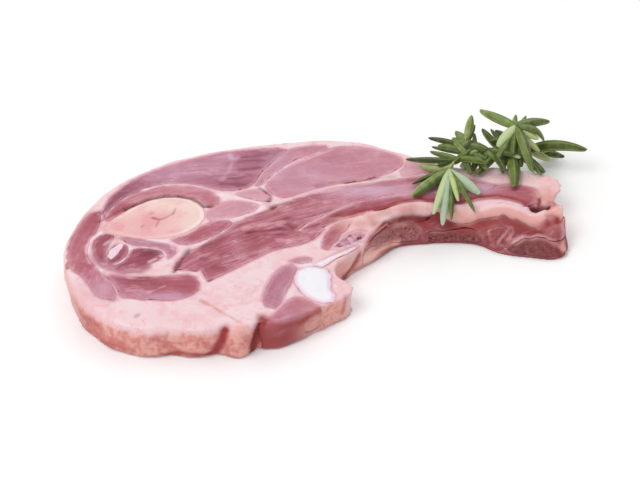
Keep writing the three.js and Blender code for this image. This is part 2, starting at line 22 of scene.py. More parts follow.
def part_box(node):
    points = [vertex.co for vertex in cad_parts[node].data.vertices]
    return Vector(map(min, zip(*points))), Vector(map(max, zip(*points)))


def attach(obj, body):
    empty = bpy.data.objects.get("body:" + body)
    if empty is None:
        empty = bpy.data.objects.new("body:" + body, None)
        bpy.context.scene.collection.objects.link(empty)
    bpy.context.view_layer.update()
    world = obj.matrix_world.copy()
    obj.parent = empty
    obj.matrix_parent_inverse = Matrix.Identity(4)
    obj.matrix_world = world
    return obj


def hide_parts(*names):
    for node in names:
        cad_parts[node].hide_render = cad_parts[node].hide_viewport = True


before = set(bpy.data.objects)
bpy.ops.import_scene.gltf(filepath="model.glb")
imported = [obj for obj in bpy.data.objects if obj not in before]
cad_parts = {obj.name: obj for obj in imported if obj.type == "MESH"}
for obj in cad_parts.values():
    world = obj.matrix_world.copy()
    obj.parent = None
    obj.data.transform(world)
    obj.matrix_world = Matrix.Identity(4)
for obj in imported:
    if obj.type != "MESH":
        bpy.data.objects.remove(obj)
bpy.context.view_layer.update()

log = logging.getLogger("chop")
BODY = "root"
SPRIG = "rosemary_sprig"
MM = 0.001
CLEARANCE = 0.3  # that the frame leaves between two pieces

Colour = tuple[float, float, float, float]
WHITE: Colour = (1.0, 1.0, 1.0, 1.0)


def srgb(red: int, green: int, blue: int) -> Colour:
    """Turns a colour of 0 to 255 a channel into the shader's linear one."""
    return (*(((c / 255 + 0.055) / 1.055) ** 2.4 for c in (red, green, blue)), 1.0)


def smoothstep(low: float, high: float, values: np.ndarray) -> np.ndarray:
    """Rises smoothly from 0 at low to 1 at high."""
    share = np.clip((values - low) / (high - low), 0, 1)
    return share * share * (3 - 2 * share)


def perlin(columns: list[np.ndarray]) -> np.ndarray:
    """Gives smooth noise, about -0.5 to 0.5, at points given as three columns."""
    return np.array([noise.noise(Vector(p)) for p in np.stack(columns, axis=1).tolist()])


def swells(points: np.ndarray, size: float) -> np.ndarray:
    """Gives smooth noise at points, one a row, with swells of about a size."""
    return perlin(list((points / size).T))


# ---- Shader expressions ---------------------------------------------------------------------


class Wire:
    """A node's output in an expression: each operator adds a Math node to its graph."""

    def __init__(self, graph: "Graph", socket: bpy.types.NodeSocket) -> None:
        """Wraps one output socket of a graph."""
        self.graph = graph
        self.socket = socket

    def __add__(self, other: "Value") -> "Wire":
        """Adds."""
        return self.graph.math("ADD", self, other)

    def __sub__(self, other: "Value") -> "Wire":
        """Subtracts."""
        return self.graph.math("SUBTRACT", self, other)

    def __rsub__(self, other: "Value") -> "Wire":
        """Subtracts from a number."""
        return self.graph.math("SUBTRACT", other, self)

    def __mul__(self, other: "Value") -> "Wire":
        """Multiplies."""
        return self.graph.math("MULTIPLY", self, other)

    def __truediv__(self, other: "Value") -> "Wire":
        """Divides."""
        return self.graph.math("DIVIDE", self, other)

    def __abs__(self) -> "Wire":
        """Drops the sign."""
        return self.graph.math("ABSOLUTE", self)

    __radd__ = __add__
    __rmul__ = __mul__

    def step(self, low: float, high: float) -> "Wire":
        """Rises smoothly from 0 at low to 1 at high, or falls where low is the greater."""
        start, end = (0.0, 1.0) if low < high else (1.0, 0.0)
        return self.graph.add(
            "ShaderNodeMapRange",
            {"interpolation_type": "SMOOTHSTEP"},
            {"Value": self, "From Min": min(low, high), "From Max": max(low, high),
             "To Min": start, "To Max": end},
        )


Value = Wire | float


class Graph:
    """A new material and the nodes that it is built from."""

    def __init__(self, name: str) -> None:
        """Starts an empty material.

        Args:
            name: The material's name.
        """
        self.material = bpy.data.materials.new(name)
        self.material.use_nodes = True
        self.tree = self.material.node_tree
        self.tree.nodes.clear()

    def add(self, kind: str, settings: dict | None = None, sockets: dict | None = None,
            output: str | int = 0) -> Wire:
        """Adds any node.

        Args:
            kind: The node's type.
            settings: Its properties, set before its sockets.
            sockets: A value or a wire for each named or numbered input.
            output: The output that the wire starts from.

        Returns:
            The wire from that output.
        """
        node = self.tree.nodes.new(kind)
        for key, value in (settings or {}).items():
            setattr(node, key, value)
        for key, value in (sockets or {}).items():
            if isinstance(value, Wire):
                self.tree.links.new(value.socket, node.inputs[key])
            else:
                node.inputs[key].default_value = value
        return Wire(self, node.outputs[output] if node.outputs else None)

    def math(self, operation: str, *values: Value, clamp: bool = False) -> Wire:
        """Adds a Math node on one or two values."""
        settings = {"operation": operation, "use_clamp": clamp}
        return self.add("ShaderNodeMath", settings, dict(enumerate(values)))

    def clamp(self, value: Wire) -> Wire:
        """Keeps a value between 0 and 1."""
        return self.math("ADD", value, 0.0, clamp=True)

    def mix(self, first: Wire | Colour, second: Wire | Colour, share: Value) -> Wire:
        """Blends from the first colour to the second by a share, which is kept from 0 to 1."""
        settings = {"data_type": "RGBA", "clamp_factor": True}
        return self.add("ShaderNodeMix", settings, {"Factor": share, 6: first, 7: second}, output=2)

    def tinted(self, colour: Wire, *tints: tuple[str, Wire | Colour, Value]) -> Wire:
        """Lays tones over a colour where the mesh's attributes call for them.

        Args:
            colour: What they lie on.
            tints: For each, the attribute, the tone and how strongly it shows.

        Returns:
            The colour with all of them.
        """
        for name, tone, strength in tints:
            colour = self.mix(colour, tone, self.attribute(name) * strength)
        return colour

    def attribute(self, name: str) -> Wire:
        """Reads a number stored at the mesh's points."""
        settings = {"attribute_type": "GEOMETRY", "attribute_name": name}
        return self.add("ShaderNodeAttribute", settings, output="Fac")

    def place(self, scale: float) -> Wire:
        """Gives the point's place in the frame, in millimetres times a scale."""
        here = self.add("ShaderNodeTexCoord", output="Object")
        sockets = {0: here, "Scale": scale / MM}
        return self.add("ShaderNodeVectorMath", {"operation": "SCALE"}, sockets)

    def height(self) -> Wire:
        """Gives the point's height above the table, in millimetres."""
        return self.add("ShaderNodeSeparateXYZ", sockets={0: self.place(1.0)}, output="Z")

    def vector(self, x: Value, y: Value, z: Value) -> Wire:
        """Joins three values into a vector."""
        return self.add("ShaderNodeCombineXYZ", sockets={0: x, 1: y, 2: z})

    def noise(self, at: Wire, detail: float = 2.0, roughness: float = 0.5) -> Wire:
        """Adds noise of unit size, from 0 to 1 about 0.5."""
        sockets = {"Vector": at, "Scale": 1.0, "Detail": detail, "Roughness": roughness}
        return self.add("ShaderNodeTexNoise", sockets=sockets)

    def cells(self, at: Wire, feature: str = "F1") -> Wire:
        """Adds a cell pattern of unit size, as the distance within each cell."""
        return self.add("ShaderNodeTexVoronoi", {"feature": feature}, {"Vector": at, "Scale": 1.0},
                        output="Distance")

    def bump(self, height: Wire, depth: float, strength: float = 1.0) -> Wire:
        """Turns a height of 0 to 1 into a normal.

        Args:
            height: The pattern.
            depth: How many millimetres 1 stands for.
            strength: How far the normal follows it.

        Returns:
            The normal's wire.
        """
        sockets = {"Height": height, "Distance": depth * MM, "Strength": strength}
        return self.add("ShaderNodeBump", sockets=sockets)

    def finish(self, sockets: dict) -> bpy.types.Material:
        """Ends the graph in a Principled shader.

        Args:
            sockets: Its inputs.

        Returns:
            The finished material.
        """
        shader = self.add("ShaderNodeBsdfPrincipled", sockets=sockets)
        self.add("ShaderNodeOutputMaterial", sockets={"Surface": shader})
        return self.material


# ---- Finishes -------------------------------------------------------------------------------


@dataclass(frozen=True)
class Moist:
    """What light does on and just under a moist surface, the same all over it."""

    under: float = 0.15  # share of the light that goes under the surface
    reach: float = 2.5  # how far it goes, in millimetres
    gloss: float = 0.25
    film: float = 0.08

    def sockets(self) -> dict:
        """Gives the shader's constant inputs."""
        return {
            "Subsurface Weight": self.under,
            "Subsurface Radius": (1.0, 0.35, 0.25),
            "Subsurface Scale": self.reach * MM,
            "Specular IOR Level": self.gloss,
            "Coat Weight": self.film,
            "Coat Roughness": 0.2,
        }


class Finish:
    """A material's recipe. Each kind is a frozen dataclass of its tones."""

    moist: Moist

    def material(self, name: str) -> bpy.types.Material:
        """Builds the material.

        Args:
            name: The material's name.

        Returns:
            The material, which reads the attributes that its piece's mesh stores.
        """
        graph = Graph(name)
        return graph.finish({**self.varying(graph), **self.moist.sockets()})

    def varying(self, g: Graph) -> dict:
        """Gives the shader's inputs that vary over the surface."""
        raise NotImplementedError


FASCIA = srgb(234, 188, 197)
# Painted sheen: a lilac reflection of light painted on moist muscle.
SHEEN = srgb(206, 166, 190)
GRISTLE = srgb(228, 168, 164)
WARM_FAT = srgb(240, 188, 176)
# Dark red of blood, and painted shade in open seams, gaps, creases and the pit.
BLOOD_AND_SHADE = srgb(114, 38, 44)
WALL_MEAT = srgb(150, 68, 68)
RAW_RED = srgb(158, 56, 54)


class Flesh(Enum):
    """Kinds of muscle: the record's slot, then the deep, middle and pale tones."""

    DARK = ("muscle_dark", srgb(124, 50, 68), srgb(158, 76, 94), srgb(190, 120, 136))
    MAUVE = ("muscle_mauve", srgb(140, 72, 92), srgb(175, 108, 129), srgb(205, 152, 168))
    ROSE = ("muscle_rose", srgb(144, 62, 76), srgb(177, 97, 112), srgb(206, 142, 154))
    PALE = ("muscle_pale", srgb(165, 94, 112), srgb(195, 132, 147), srgb(219, 166, 177))
    GRAINED = ("muscle_grained", srgb(128, 50, 64), srgb(171, 94, 108), srgb(208, 147, 159))
    RIB = ("rib_meat", srgb(100, 34, 38), srgb(143, 66, 72), srgb(182, 106, 110))

    def __init__(self, slot: str, deep: Colour, middle: Colour, pale: Colour) -> None:
        """Names the parts of the value."""
        self.slot = slot
        self.deep = deep
        self.middle = middle
        self.pale = pale


@dataclass(frozen=True)
class MuscleFinish(Finish):
    """Cut muscle: fibres along its grain, thin marbling and a pale sheath at its edge."""

    flesh: Flesh
    fibre: float = 0.5  # how much the fibres show
    marbling: float = 0.3
    lift: float = 0.0  # moves the whole muscle towards its pale tone
    raw_wall: float = 0.85  # how red it is where it shows at the rim
    moist: Moist = Moist()

    def varying(self, g: Graph) -> dict:
        """Gives the shader's inputs that vary over the surface."""
        along, across, edge, wall = (g.attribute(a) for a in ("along", "across", "edge", "wall"))
        z = g.height()
        fine = g.noise(g.vector(along * 0.1, across * 0.9, z * 0.25), detail=3.0, roughness=0.55)
        bundle = g.noise(g.vector(along * 0.03, across * 0.24, z * 0.1), detail=3.0)
        mottle = g.noise(g.place(0.11), detail=4.0, roughness=0.6)
        speckle = g.noise(g.place(0.8), detail=2.0)
        tone = (fine - 0.5) * (1.1 * self.fibre) + (bundle - 0.5) * (0.6 + self.fibre)
        tone = tone + (mottle - 0.5) * 1.1 + (speckle - 0.5) * 0.3 + g.attribute("tone") + self.lift
        colour = g.mix(self.flesh.middle, self.flesh.deep, tone * -1.5)
        colour = g.mix(colour, self.flesh.pale, tone * 1.3)
        vein = abs(g.noise(g.vector(along * 0.06, across * 0.4, z * 0.1), detail=3.0) - 0.5)
        colour = g.mix(colour, FASCIA, vein.step(0.06, 0.0) * mottle.step(0.45, 0.65) * self.marbling)
        ragged = edge + (g.noise(g.place(0.6), detail=3.0) - 0.5) * 1.2
        colour = g.mix(colour, FASCIA, ragged.step(1.6, 0.0) * (1.0 - wall) * 0.22)
        colour = g.tinted(
            colour,
            # Painted sheen: a lilac reflection laid over the muscle's colour.
            ("sheen", SHEEN, 0.3 + bundle * 1.4),
            ("streak", FASCIA, 0.4 + speckle * 1.1),
            ("wall", WALL_MEAT, mottle.step(0.2, 0.5) * self.raw_wall),
            ("peach", WARM_FAT, 0.5 + mottle * 1.2),
            ("raw", RAW_RED, 0.5 + speckle),
            # Dark red marks: blood, and painted shade in open seams, gaps and the pit.
            ("gash", BLOOD_AND_SHADE, 1.0),
        )
        relief = fine * (0.4 + self.fibre) + mottle * 0.5 + speckle * 0.4
        return {
            "Base Color": colour,
            "Roughness": 0.36 + mottle * 0.22,
            "Normal": g.bump(relief, depth=0.35, strength=0.6),
        }


@dataclass(frozen=True)
class FatFinish(Finish):
    """Firm fat on the cut face, and the thin membrane round its outer side."""

    cream: Colour = srgb(238, 211, 215)
    pink: Colour = srgb(234, 184, 189)
    peach: Colour = srgb(232, 174, 165)
    salmon: Colour = srgb(200, 118, 112)
    sheath: Colour = srgb(224, 158, 172)  # thin fat between the muscles
    sinew: Colour = srgb(250, 232, 240)
    lean: tuple[Colour, Colour] = (srgb(146, 66, 82), srgb(207, 150, 163))  # meat over it
    under: Colour = srgb(150, 74, 78)  # what shows where it dips below a muscle
    moist: Moist = Moist(under=0.25, reach=3.0, gloss=0.25, film=0.08)

    def varying(self, g: Graph) -> dict:
        """Gives the shader's inputs that vary over the surface."""
        z = g.height()
        cloud = g.noise(g.place(0.07), detail=4.0, roughness=0.6)
        blotch = g.noise(g.place(0.26), detail=4.0, roughness=0.6)
        lobule = g.cells(g.place(0.42), "SMOOTH_F1")
        grain = g.noise(g.place(0.9), detail=3.0)
        pinkness = (cloud * 0.6 + blotch * 0.4 + lobule * 0.08).step(0.47, 0.66)
        colour = g.mix(self.cream, self.pink, pinkness * 0.65)
        vein = abs(g.noise(g.place(0.13), detail=4.0) - 0.5).step(0.03, 0.0) * blotch.step(0.42, 0.6)
        colour = g.mix(colour, self.sheath, vein * 0.4)
        wall = g.attribute("wall")
        thin = g.attribute("edge").step(1.5, 0.3) * (0.4 + blotch * 0.9) * (1.0 - wall)
        colour = g.mix(colour, self.sheath, thin)
        colour = g.tinted(
            colour,
            ("blush", self.pink, 0.6 + cloud * 0.8),
            ("peach", self.peach, 0.55 + grain * 0.7),
        )
        sheet = g.clamp(g.attribute("membrane") * (0.2 + cloud * 0.8 + blotch * 0.8))
        sheet = sheet * (z + blotch * 4.0).step(16.0, 11.5)
        skin = g.mix(self.salmon, self.peach, (cloud * 0.5 + blotch * 0.5).step(0.4, 0.6))
        skin = g.mix(skin, RAW_RED, (cloud * 0.5 + blotch * 0.5).step(0.54, 0.66) * 0.5)
        skin = g.mix(skin, RAW_RED, (z + blotch * 5.0).step(5.4, 2.4) * 0.5)
        colour = g.mix(colour, skin, sheet)
        meat = 0.55 + (cloud + blotch - 1.0) * 1.2 + (grain - 0.5) * 0.5 + g.attribute("tone")
        colour = g.tinted(
            colour,
            ("lean", g.mix(*self.lean, meat), 0.7 + grain * 0.6),
            ("streak", self.sinew, 0.55 + grain * 0.8),
            ("raw", RAW_RED, 0.5 + blotch),
            # Dark red marks: blood, and painted shade in open seams, gaps and the pit.
            ("gash", BLOOD_AND_SHADE, 1.0),
        )
        colour = g.mix(colour, self.under, g.attribute("sunk").step(0.4, 0.9) * (1.0 - wall * 0.6))
        return {
            "Base Color": colour,
            "Roughness": 0.36 + grain * 0.2,
            "Normal": g.bump(lobule * 0.5 + grain * 0.5 + blotch * 0.8, depth=0.35, strength=0.6),
        }


@dataclass(frozen=True)
class BoneFinish(Finish):
    """Sawn bone: a dense ring round a core with pores and specks of marrow."""

    ring: Colour
    core: Colour
    stain: Colour  # of the core's clouds
    speck: Colour
    ring_width: float = 1.4
    pores: float = 0.3  # how much the pores show
    pore_size: float = 1.4
    moist: Moist = Moist(under=0.12, reach=2.0, gloss=0.3, film=0.05)

    def varying(self, g: Graph) -> dict:
        """Gives the shader's inputs that vary over the surface."""
        cloud = g.noise(g.place(0.11), detail=4.0, roughness=0.6)
        sponge = g.noise(g.place(1.0 / self.pore_size), detail=3.0, roughness=0.6)
        grain = g.noise(g.place(1.6), detail=3.0)
        edge = g.attribute("edge") + (cloud - 0.5) * self.ring_width
        blush = g.attribute("blush")
        core = g.mix(self.core, self.stain, cloud.step(0.42, 0.66) * 0.4 + blush)
        core = g.mix(core, self.ring, sponge.step(0.53, 0.68) * self.pores * 0.7)
        core = g.mix(core, self.speck, sponge.step(0.48, 0.34) * self.pores)
        ring = edge.step(self.ring_width * 1.5, self.ring_width * 0.6) * cloud.step(0.3, 0.5)
        colour = g.tinted(
            g.mix(core, self.ring, ring * (1.0 - blush * 1.4)),
            ("streak", GRISTLE, 0.5 + grain),
            ("peach", WARM_FAT, 0.4 + cloud),
            ("raw", RAW_RED, 0.5 + grain),
            # Dark cracks of the bone, and painted shade where the gap's mark crosses it.
            ("gash", self.speck, 1.0),
        )
        return {
            "Base Color": colour,
            "Roughness": 0.42 + grain * 0.2,
            "Normal": g.bump(sponge * self.pores + grain * 0.3, depth=0.6, strength=0.6),
        }


@dataclass(frozen=True)
class SmoothFinish(Finish):
    """Cartilage or sinew: smooth, nearly white, a little clear."""

    body: Colour
    shade: Colour
    rim: Colour = srgb(238, 200, 214)
    strands: float = 0.0  # how much its fibres show
    stained_below: float = 0.0  # height under which warm fat clings to it
    moist: Moist = Moist(under=0.25, reach=3.0, gloss=0.4, film=0.25)

    def varying(self, g: Graph) -> dict:
        """Gives the shader's inputs that vary over the surface."""
        cloud = g.noise(g.place(0.2), detail=3.0)
        strand = g.noise(g.vector(g.attribute("along") * 0.1, g.attribute("across") * 0.7, 0.0))
        colour = g.mix(self.body, self.shade, (cloud + strand * self.strands - 0.55) * 1.4)
        colour = g.mix(colour, self.rim, g.attribute("edge").step(1.6, 0.0) * (0.3 + cloud * 0.9))
        z = g.height()
        low = z.step(self.stained_below, self.stained_below - 2.0) * z.step(0.3, 1.5)
        stained = g.attribute("wall") + low
        colour = g.mix(colour, WARM_FAT, stained * (0.6 + cloud * 0.6))
        # Dark red marks: painted shade where creases and gaps cross it.
        colour = g.tinted(colour, ("gash", BLOOD_AND_SHADE, 1.0))
        return {
            "Base Color": colour,
            "Roughness": 0.3 + cloud * 0.1,
            "Normal": g.bump(strand * self.strands + cloud, depth=0.15, strength=0.4),
        }


@dataclass(frozen=True)
class LeafFinish(Finish):
    """Rosemary: a dark upper side with a pale midrib, and a grey green underside."""

    deep: Colour = srgb(58, 72, 20)
    green: Colour = srgb(110, 128, 52)
    young: Colour = srgb(192, 206, 140)
    bluish: Colour = srgb(188, 208, 184)
    under: Colour = srgb(140, 158, 120)
    moist: Moist = Moist(under=0.1, reach=1.0, gloss=0.3, film=0.05)

    def varying(self, g: Graph) -> dict:
        """Gives the shader's inputs that vary over the surface."""
        light, bluish, side, over = (g.attribute(a) for a in ("light", "bluish", "side", "over"))
        patch = g.noise(g.place(0.35), detail=3.0)
        grain = g.noise(g.place(1.8), detail=2.0)
        # light holds the leaf's tone and its painted lighter half towards the light.
        colour = g.mix(self.deep, self.green, light * 2.0 + (patch - 0.5) * 0.9)
        colour = g.mix(colour, self.young, light * 2.0 - 1.0 + (patch - 0.5) * 0.8)
        colour = g.mix(colour, self.bluish, g.clamp(bluish + (patch - 0.5) * 0.4) * 0.85)
        rib = abs(side).step(0.2, 0.04)
        margin = abs(side).step(0.72, 0.98)
        colour = g.mix(colour, self.young, (rib * 0.2 + margin * 0.3) * over.step(0.0, 0.4))
        colour = g.mix(colour, self.under, over.step(0.0, -0.5) * abs(side).step(0.95, 0.6) * 0.85)
        return {
            "Base Color": colour,
            "Roughness": 0.42 + grain * 0.2,
            "Normal": g.bump(grain + rib, depth=0.12, strength=0.5),
        }


@dataclass(frozen=True)
class TwigFinish(Finish):
    """The sprig's stem: green at the tip and brown bark at the cut end."""

    tip: Colour = srgb(158, 174, 112)
    bark: Colour = srgb(116, 88, 56)
    moist: Moist = Moist(under=0.0, gloss=0.2, film=0.0)

    def varying(self, g: Graph) -> dict:
        """Gives the shader's inputs that vary over the surface."""
        grain = g.noise(g.place(1.2), detail=4.0)
        colour = g.mix(self.tip, self.bark, g.attribute("light") * 1.6 - 1.0 + grain)
        return {
            "Base Color": colour,
            "Roughness": 0.6 + grain * 0.2,
            "Normal": g.bump(grain, depth=0.3, strength=0.6),
        }


# ---- Marks on the cut faces and the rim ------------------------------------------------------


class Tint(Enum):
    """What a mark stores in the mesh: the attribute's name."""

    GASH = "gash"  # dark open crease, crack or spot, with painted shade in seams, gaps and the pit
    STREAK = "streak"  # pale line of sheath or sinew
    BLUSH = "blush"  # pink fat
    PEACH = "peach"  # warm fat
    MEMBRANE = "membrane"  # salmon skin of the rim
    RAW = "raw"  # red showing through it
    TONE = "tone"  # lighter muscle, or darker where negative
    SHEEN = "sheen"  # painted lilac sheen on muscle: a painted reflection
    LEAN = "lean"  # muscle over fat
    PROUD = "proud"  # how many millimetres it stands out from its surface


@dataclass(frozen=True)
class Line:
    """A crease, a streak or a stroke of colour that runs over the surface.

    Attributes:
        path: Its points, as X and Y on the upper cut face, or as X, Y and Z anywhere.
        width: Half its width, where it has faded to a third.
        rise: How far it stands up, or goes down where negative.
        tint: What it stores.
        amount: How strongly.
        wander: How far it strays from its path.
    """

    path: tuple[tuple[float, ...], ...]
    width: float = 0.5
    rise: float = 0.0
    tint: Tint = Tint.GASH
    amount: float = 1.0
    wander: float = 0.4

    @property
    def flat(self) -> bool:
        """Tells whether it runs over the upper cut face."""
        return len(self.path[0]) == 2

    def near(self, points: np.ndarray) -> np.ndarray:
        """Tells how near points are to it: 1 on the line, falling to 0.

        Args:
            points: Places in millimetres, one a row.

        Returns:
            One number a point.
        """
        strength = np.zeros(len(points))
        corners = np.array(self.path)
        reach = 3 * self.width + 2 * self.wander
        low, high = corners.min(axis=0) - reach, corners.max(axis=0) + reach
        at = points[:, :len(low)]
        close = np.flatnonzero(np.all((at > low) & (at < high), axis=1))
        if not len(close):
            return strength
        at = at[close]
        closest = np.full(len(at), np.inf)
        for start, end in zip(corners[:-1], corners[1:]):
            run = end - start
            share = np.clip((at - start) @ run / (run @ run), 0, 1)
            apart = np.linalg.norm(at - start - share[:, None] * run, axis=1)
            closest = np.minimum(closest, apart)
        x, y, _ = points[close].T
        stray = perlin([x / 4, y / 4, np.full(len(close), self.width)]) * 2 * self.wander
        strength[close] = np.exp(-(((closest + stray) / self.width) ** 2))
        return strength


@dataclass(frozen=True)
class Spot:
    """A soft patch of tint round a place, wider along X and Y than in height.

    Attributes:
        tint: What it stores.
        at: Its middle.
        reach: How far it goes along X, Y and Z before it has faded to a third.
        amount: How strongly.
    """

    tint: Tint
    at: tuple[float, float, float]
    reach: tuple[float, float, float]
    amount: float = 1.0

    def near(self, points: np.ndarray) -> np.ndarray:
        """Tells how strong it is at points in millimetres, one number a point."""
        away = (points - np.array(self.at)) / np.array(self.reach)
        return self.amount * np.exp(-(away ** 2).sum(axis=1))


def marks(tint: Tint, wander: float, *rows: tuple) -> tuple[Line, ...]:
    """Makes lines of one tint that stray equally far.

    Args:
        tint: What they store.
        wander: How far they stray.
        rows: For each, half its width, its rise, its amount, and then the points of its path.

    Returns:
        The lines.
    """
    return tuple(Line(tuple(path), width, rise, tint, amount, wander)
                 for width, rise, amount, *path in rows)


def blots(tint: Tint, *rows: tuple) -> tuple[Spot, ...]:
    """Makes spots of one tint. Each row gives the amount, the middle and the reach."""
    return tuple(Spot(tint, at, reach, amount) for amount, at, reach in rows)


def patches(tint: Tint, *rows: tuple) -> tuple[Spot, ...]:
    """Makes spots over the upper cut face. Each row gives X, Y, how far along both, and the amount."""
    height, tall = 15, 20
    return tuple(Spot(tint, (x, y, height), (wide, deep, tall), amount) for x, y, wide, deep, amount in rows)


# ---- The slice as the frame gives it ---------------------------------------------------------

WELD = 1e-6  # metres: the loose triangles of a CAD node share corners closer than this
STEEPEST = 2.2  # how far a sharp corner may run out when a skin is grown


def welded(sources: list[bpy.types.Object]) -> bmesh.types.BMesh:
    """Copies CAD nodes into one bmesh, with their loose triangles joined."""
    bm = bmesh.new()
    for source in sources:
        bm.from_mesh(source.data)
    bmesh.ops.remove_doubles(bm, verts=bm.verts, dist=WELD)
    return bm


def tree_of(sources: list[bpy.types.Object]) -> BVHTree:
    """Makes a search tree of CAD nodes."""
    bm = welded(sources)
    tree = BVHTree.FromBMesh(bm)
    bm.free()
    return tree


def distances(tree: BVHTree, points: np.ndarray) -> np.ndarray:
    """Measures from points to the nearest surface in a tree, all in millimetres."""
    return np.array([tree.find_nearest(Vector(p) * MM)[3] for p in points.tolist()]) / MM


class CutFace:
    """The upper cut face of the slice: how high it lies, as faceted and as made even."""

    cell = 1.0  # of the grid of heights
    facet_blur = 0.8  # little enough to keep the facets
    even_blur = 3.0  # enough to lose them

    def __init__(self, nodes: list[bpy.types.Object]) -> None:
        """Samples the face from straight above.

        Args:
            nodes: The CAD nodes of the chop.
        """
        corners = np.array([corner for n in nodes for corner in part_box(n.name)]) / MM
        self.low = corners.min(axis=0)
        high = corners.max(axis=0)
        count = np.ceil((high - self.low)[:2] / self.cell).astype(int) + 1
        heights = np.zeros(count)
        seen = np.zeros(count)
        tree = tree_of(nodes)
        down = Vector((0, 0, -1))
        flat, least = 0.9, 5 * MM  # a hit on a wall or in a gap isn't the face
        for i, j in np.ndindex(*count):
            x, y = self.low[:2] + np.array((i, j)) * self.cell
            place, normal, _, _ = tree.ray_cast(Vector((x, y, high[2] + 1)) * MM, down)
            if place and normal.z > flat and place.z > least:
                heights[i, j] = place.z / MM
                seen[i, j] = 1
        mean = heights.sum() / seen.sum()
        self.even = self._blurred(heights, seen, self.even_blur, np.full(count, mean))
        self.faceted = self._blurred(heights, seen, self.facet_blur, self.even)

    def _blurred(self, heights: np.ndarray, seen: np.ndarray, reach: float,
                 other: np.ndarray) -> np.ndarray:
        """Blurs the heights that were seen, and takes the other ones far from them."""
        steps = np.arange(-math.ceil(3 * reach), math.ceil(3 * reach) + 1)
        kernel = np.exp(-((steps * self.cell / reach) ** 2) / 2)

        def spread(grid: np.ndarray) -> np.ndarray:
            """Blurs along both axes."""
            for axis in (0, 1):
                grid = np.apply_along_axis(np.convolve, axis, grid, kernel, mode="same")
            return grid

        total, weight = spread(heights), spread(seen)
        return np.where(weight > 0.05, total / np.maximum(weight, 1e-9), other)

    def _sample(self, grid: np.ndarray, points: np.ndarray) -> np.ndarray:
        """Reads a grid between its cells."""
        at = np.clip((points[:, :2] - self.low[:2]) / self.cell, 0, np.array(grid.shape) - 1.001)
        cell = at.astype(int)
        (i, j), (u, v) = cell.T, (at - cell).T
        near = grid[i, j] * (1 - v) + grid[i, j + 1] * v
        far = grid[i + 1, j] * (1 - v) + grid[i + 1, j + 1] * v
        return near * (1 - u) + far * u

    def height(self, points: np.ndarray) -> np.ndarray:
        """Gives the even face's height over points, in millimetres."""
        return self._sample(self.even, points)

    def correction(self, points: np.ndarray) -> np.ndarray:
        """Gives how far the even face lies above the faceted one."""
        return self.height(points) - self._sample(self.faceted, points)

    def share(self, points: np.ndarray) -> np.ndarray:
        """Gives the points' height as a share of the face's."""
        return points[:, 2] / self.height(points)


# ---- Skins ------------------------------------------------------------------------------------


class Skin:
    """An even closed mesh round CAD nodes, whose points are moved and given attributes."""

    def __init__(self, name: str, nodes: list[str], grow: float, spacing: float) -> None:
        """Builds the mesh.

        Args:
            name: The piece's name.
            nodes: The CAD nodes that it follows.
            grow: How far their sides are moved out first, in plan.
            spacing: Between the points of the mesh.
        """
        bm = welded([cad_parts[n] for n in nodes])
        bm.normal_update()
        moves = [v.normal * (grow * MM * min(v.calc_shell_factor(), STEEPEST)) for v in bm.verts]
        for vert, move in zip(bm.verts, moves):
            vert.co.xy += move.xy
        mesh = bpy.data.meshes.new(name)
        bm.to_mesh(mesh)
        bm.free()
        self.piece = bpy.data.objects.new(name, mesh)
        bpy.context.scene.collection.objects.link(self.piece)
        remesh = self.piece.modifiers.new("even", "REMESH")
        remesh.mode = "VOXEL"
        remesh.voxel_size = spacing * MM
        seen = self.piece.evaluated_get(bpy.context.evaluated_depsgraph_get())
        self.piece.data = bpy.data.meshes.new_from_object(seen)
        self.piece.modifiers.clear()
        self.piece.data.name = name
        self.points = self._read("co") / MM
        self.normals = self._read("normal")

    def _read(self, key: str) -> np.ndarray:
        """Reads a vector of every point."""
        values = np.empty(len(self.piece.data.vertices) * 3, np.float32)
        self.piece.data.vertices.foreach_get(key, values)
        return values.reshape(-1, 3).astype(float)

    def soften(self, weights: np.ndarray, rounds: int) -> None:
        """Evens out part of the surface.

        Args:
            weights: How far each point takes part, 0 to 1.
            rounds: How often the points move towards the middle of their neighbours.
        """
        mesh = self.piece.data
        ends = np.empty(len(mesh.edges) * 2, np.int32)
        mesh.edges.foreach_get("vertices", ends)
        one, other = ends.reshape(-1, 2).T
        count = np.bincount(ends, minlength=len(self.points))
        for _ in range(rounds):
            total = np.stack([
                np.bincount(one, axis[other], len(count)) + np.bincount(other, axis[one], len(count))
                for axis in self.points.T
            ], axis=1)
            self.points += (total / count[:, None] - self.points) * (weights * 0.5)[:, None]

    def store(self, values: dict[str, np.ndarray]) -> None:
        """Stores an attribute for each named array, one number a point."""
        for name, numbers in values.items():
            attribute = self.piece.data.attributes.new(name, "FLOAT", "POINT")
            attribute.data.foreach_set("value", numbers.astype(np.float32))

    def finish(self, material: bpy.types.Material, slot: str, *nodes: str) -> bpy.types.Object:
        """Writes the points back and makes the mesh a piece of the part.

        Args:
            material: Its finish.
            slot: The record's slot for it; not used.
            nodes: The CAD nodes that it stands for.

        Returns:
            The piece.
        """
        mesh = self.piece.data
        mesh.vertices.foreach_set("co", (self.points * MM).astype(np.float32).ravel())
        mesh.shade_smooth()
        mesh.materials.clear()
        mesh.materials.append(material)
        mesh.update()
        return attached(self.piece, slot, *nodes)


def attached(piece: bpy.types.Object, slot: str, *nodes: str) -> bpy.types.Object:
    """Makes an object ride on the part in place of CAD nodes, and logs it."""
    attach(piece, BODY)
    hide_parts(*nodes)
    log.info("%s: %d faces for %s", piece.name, len(piece.data.polygons), ", ".join(nodes))
    return piece


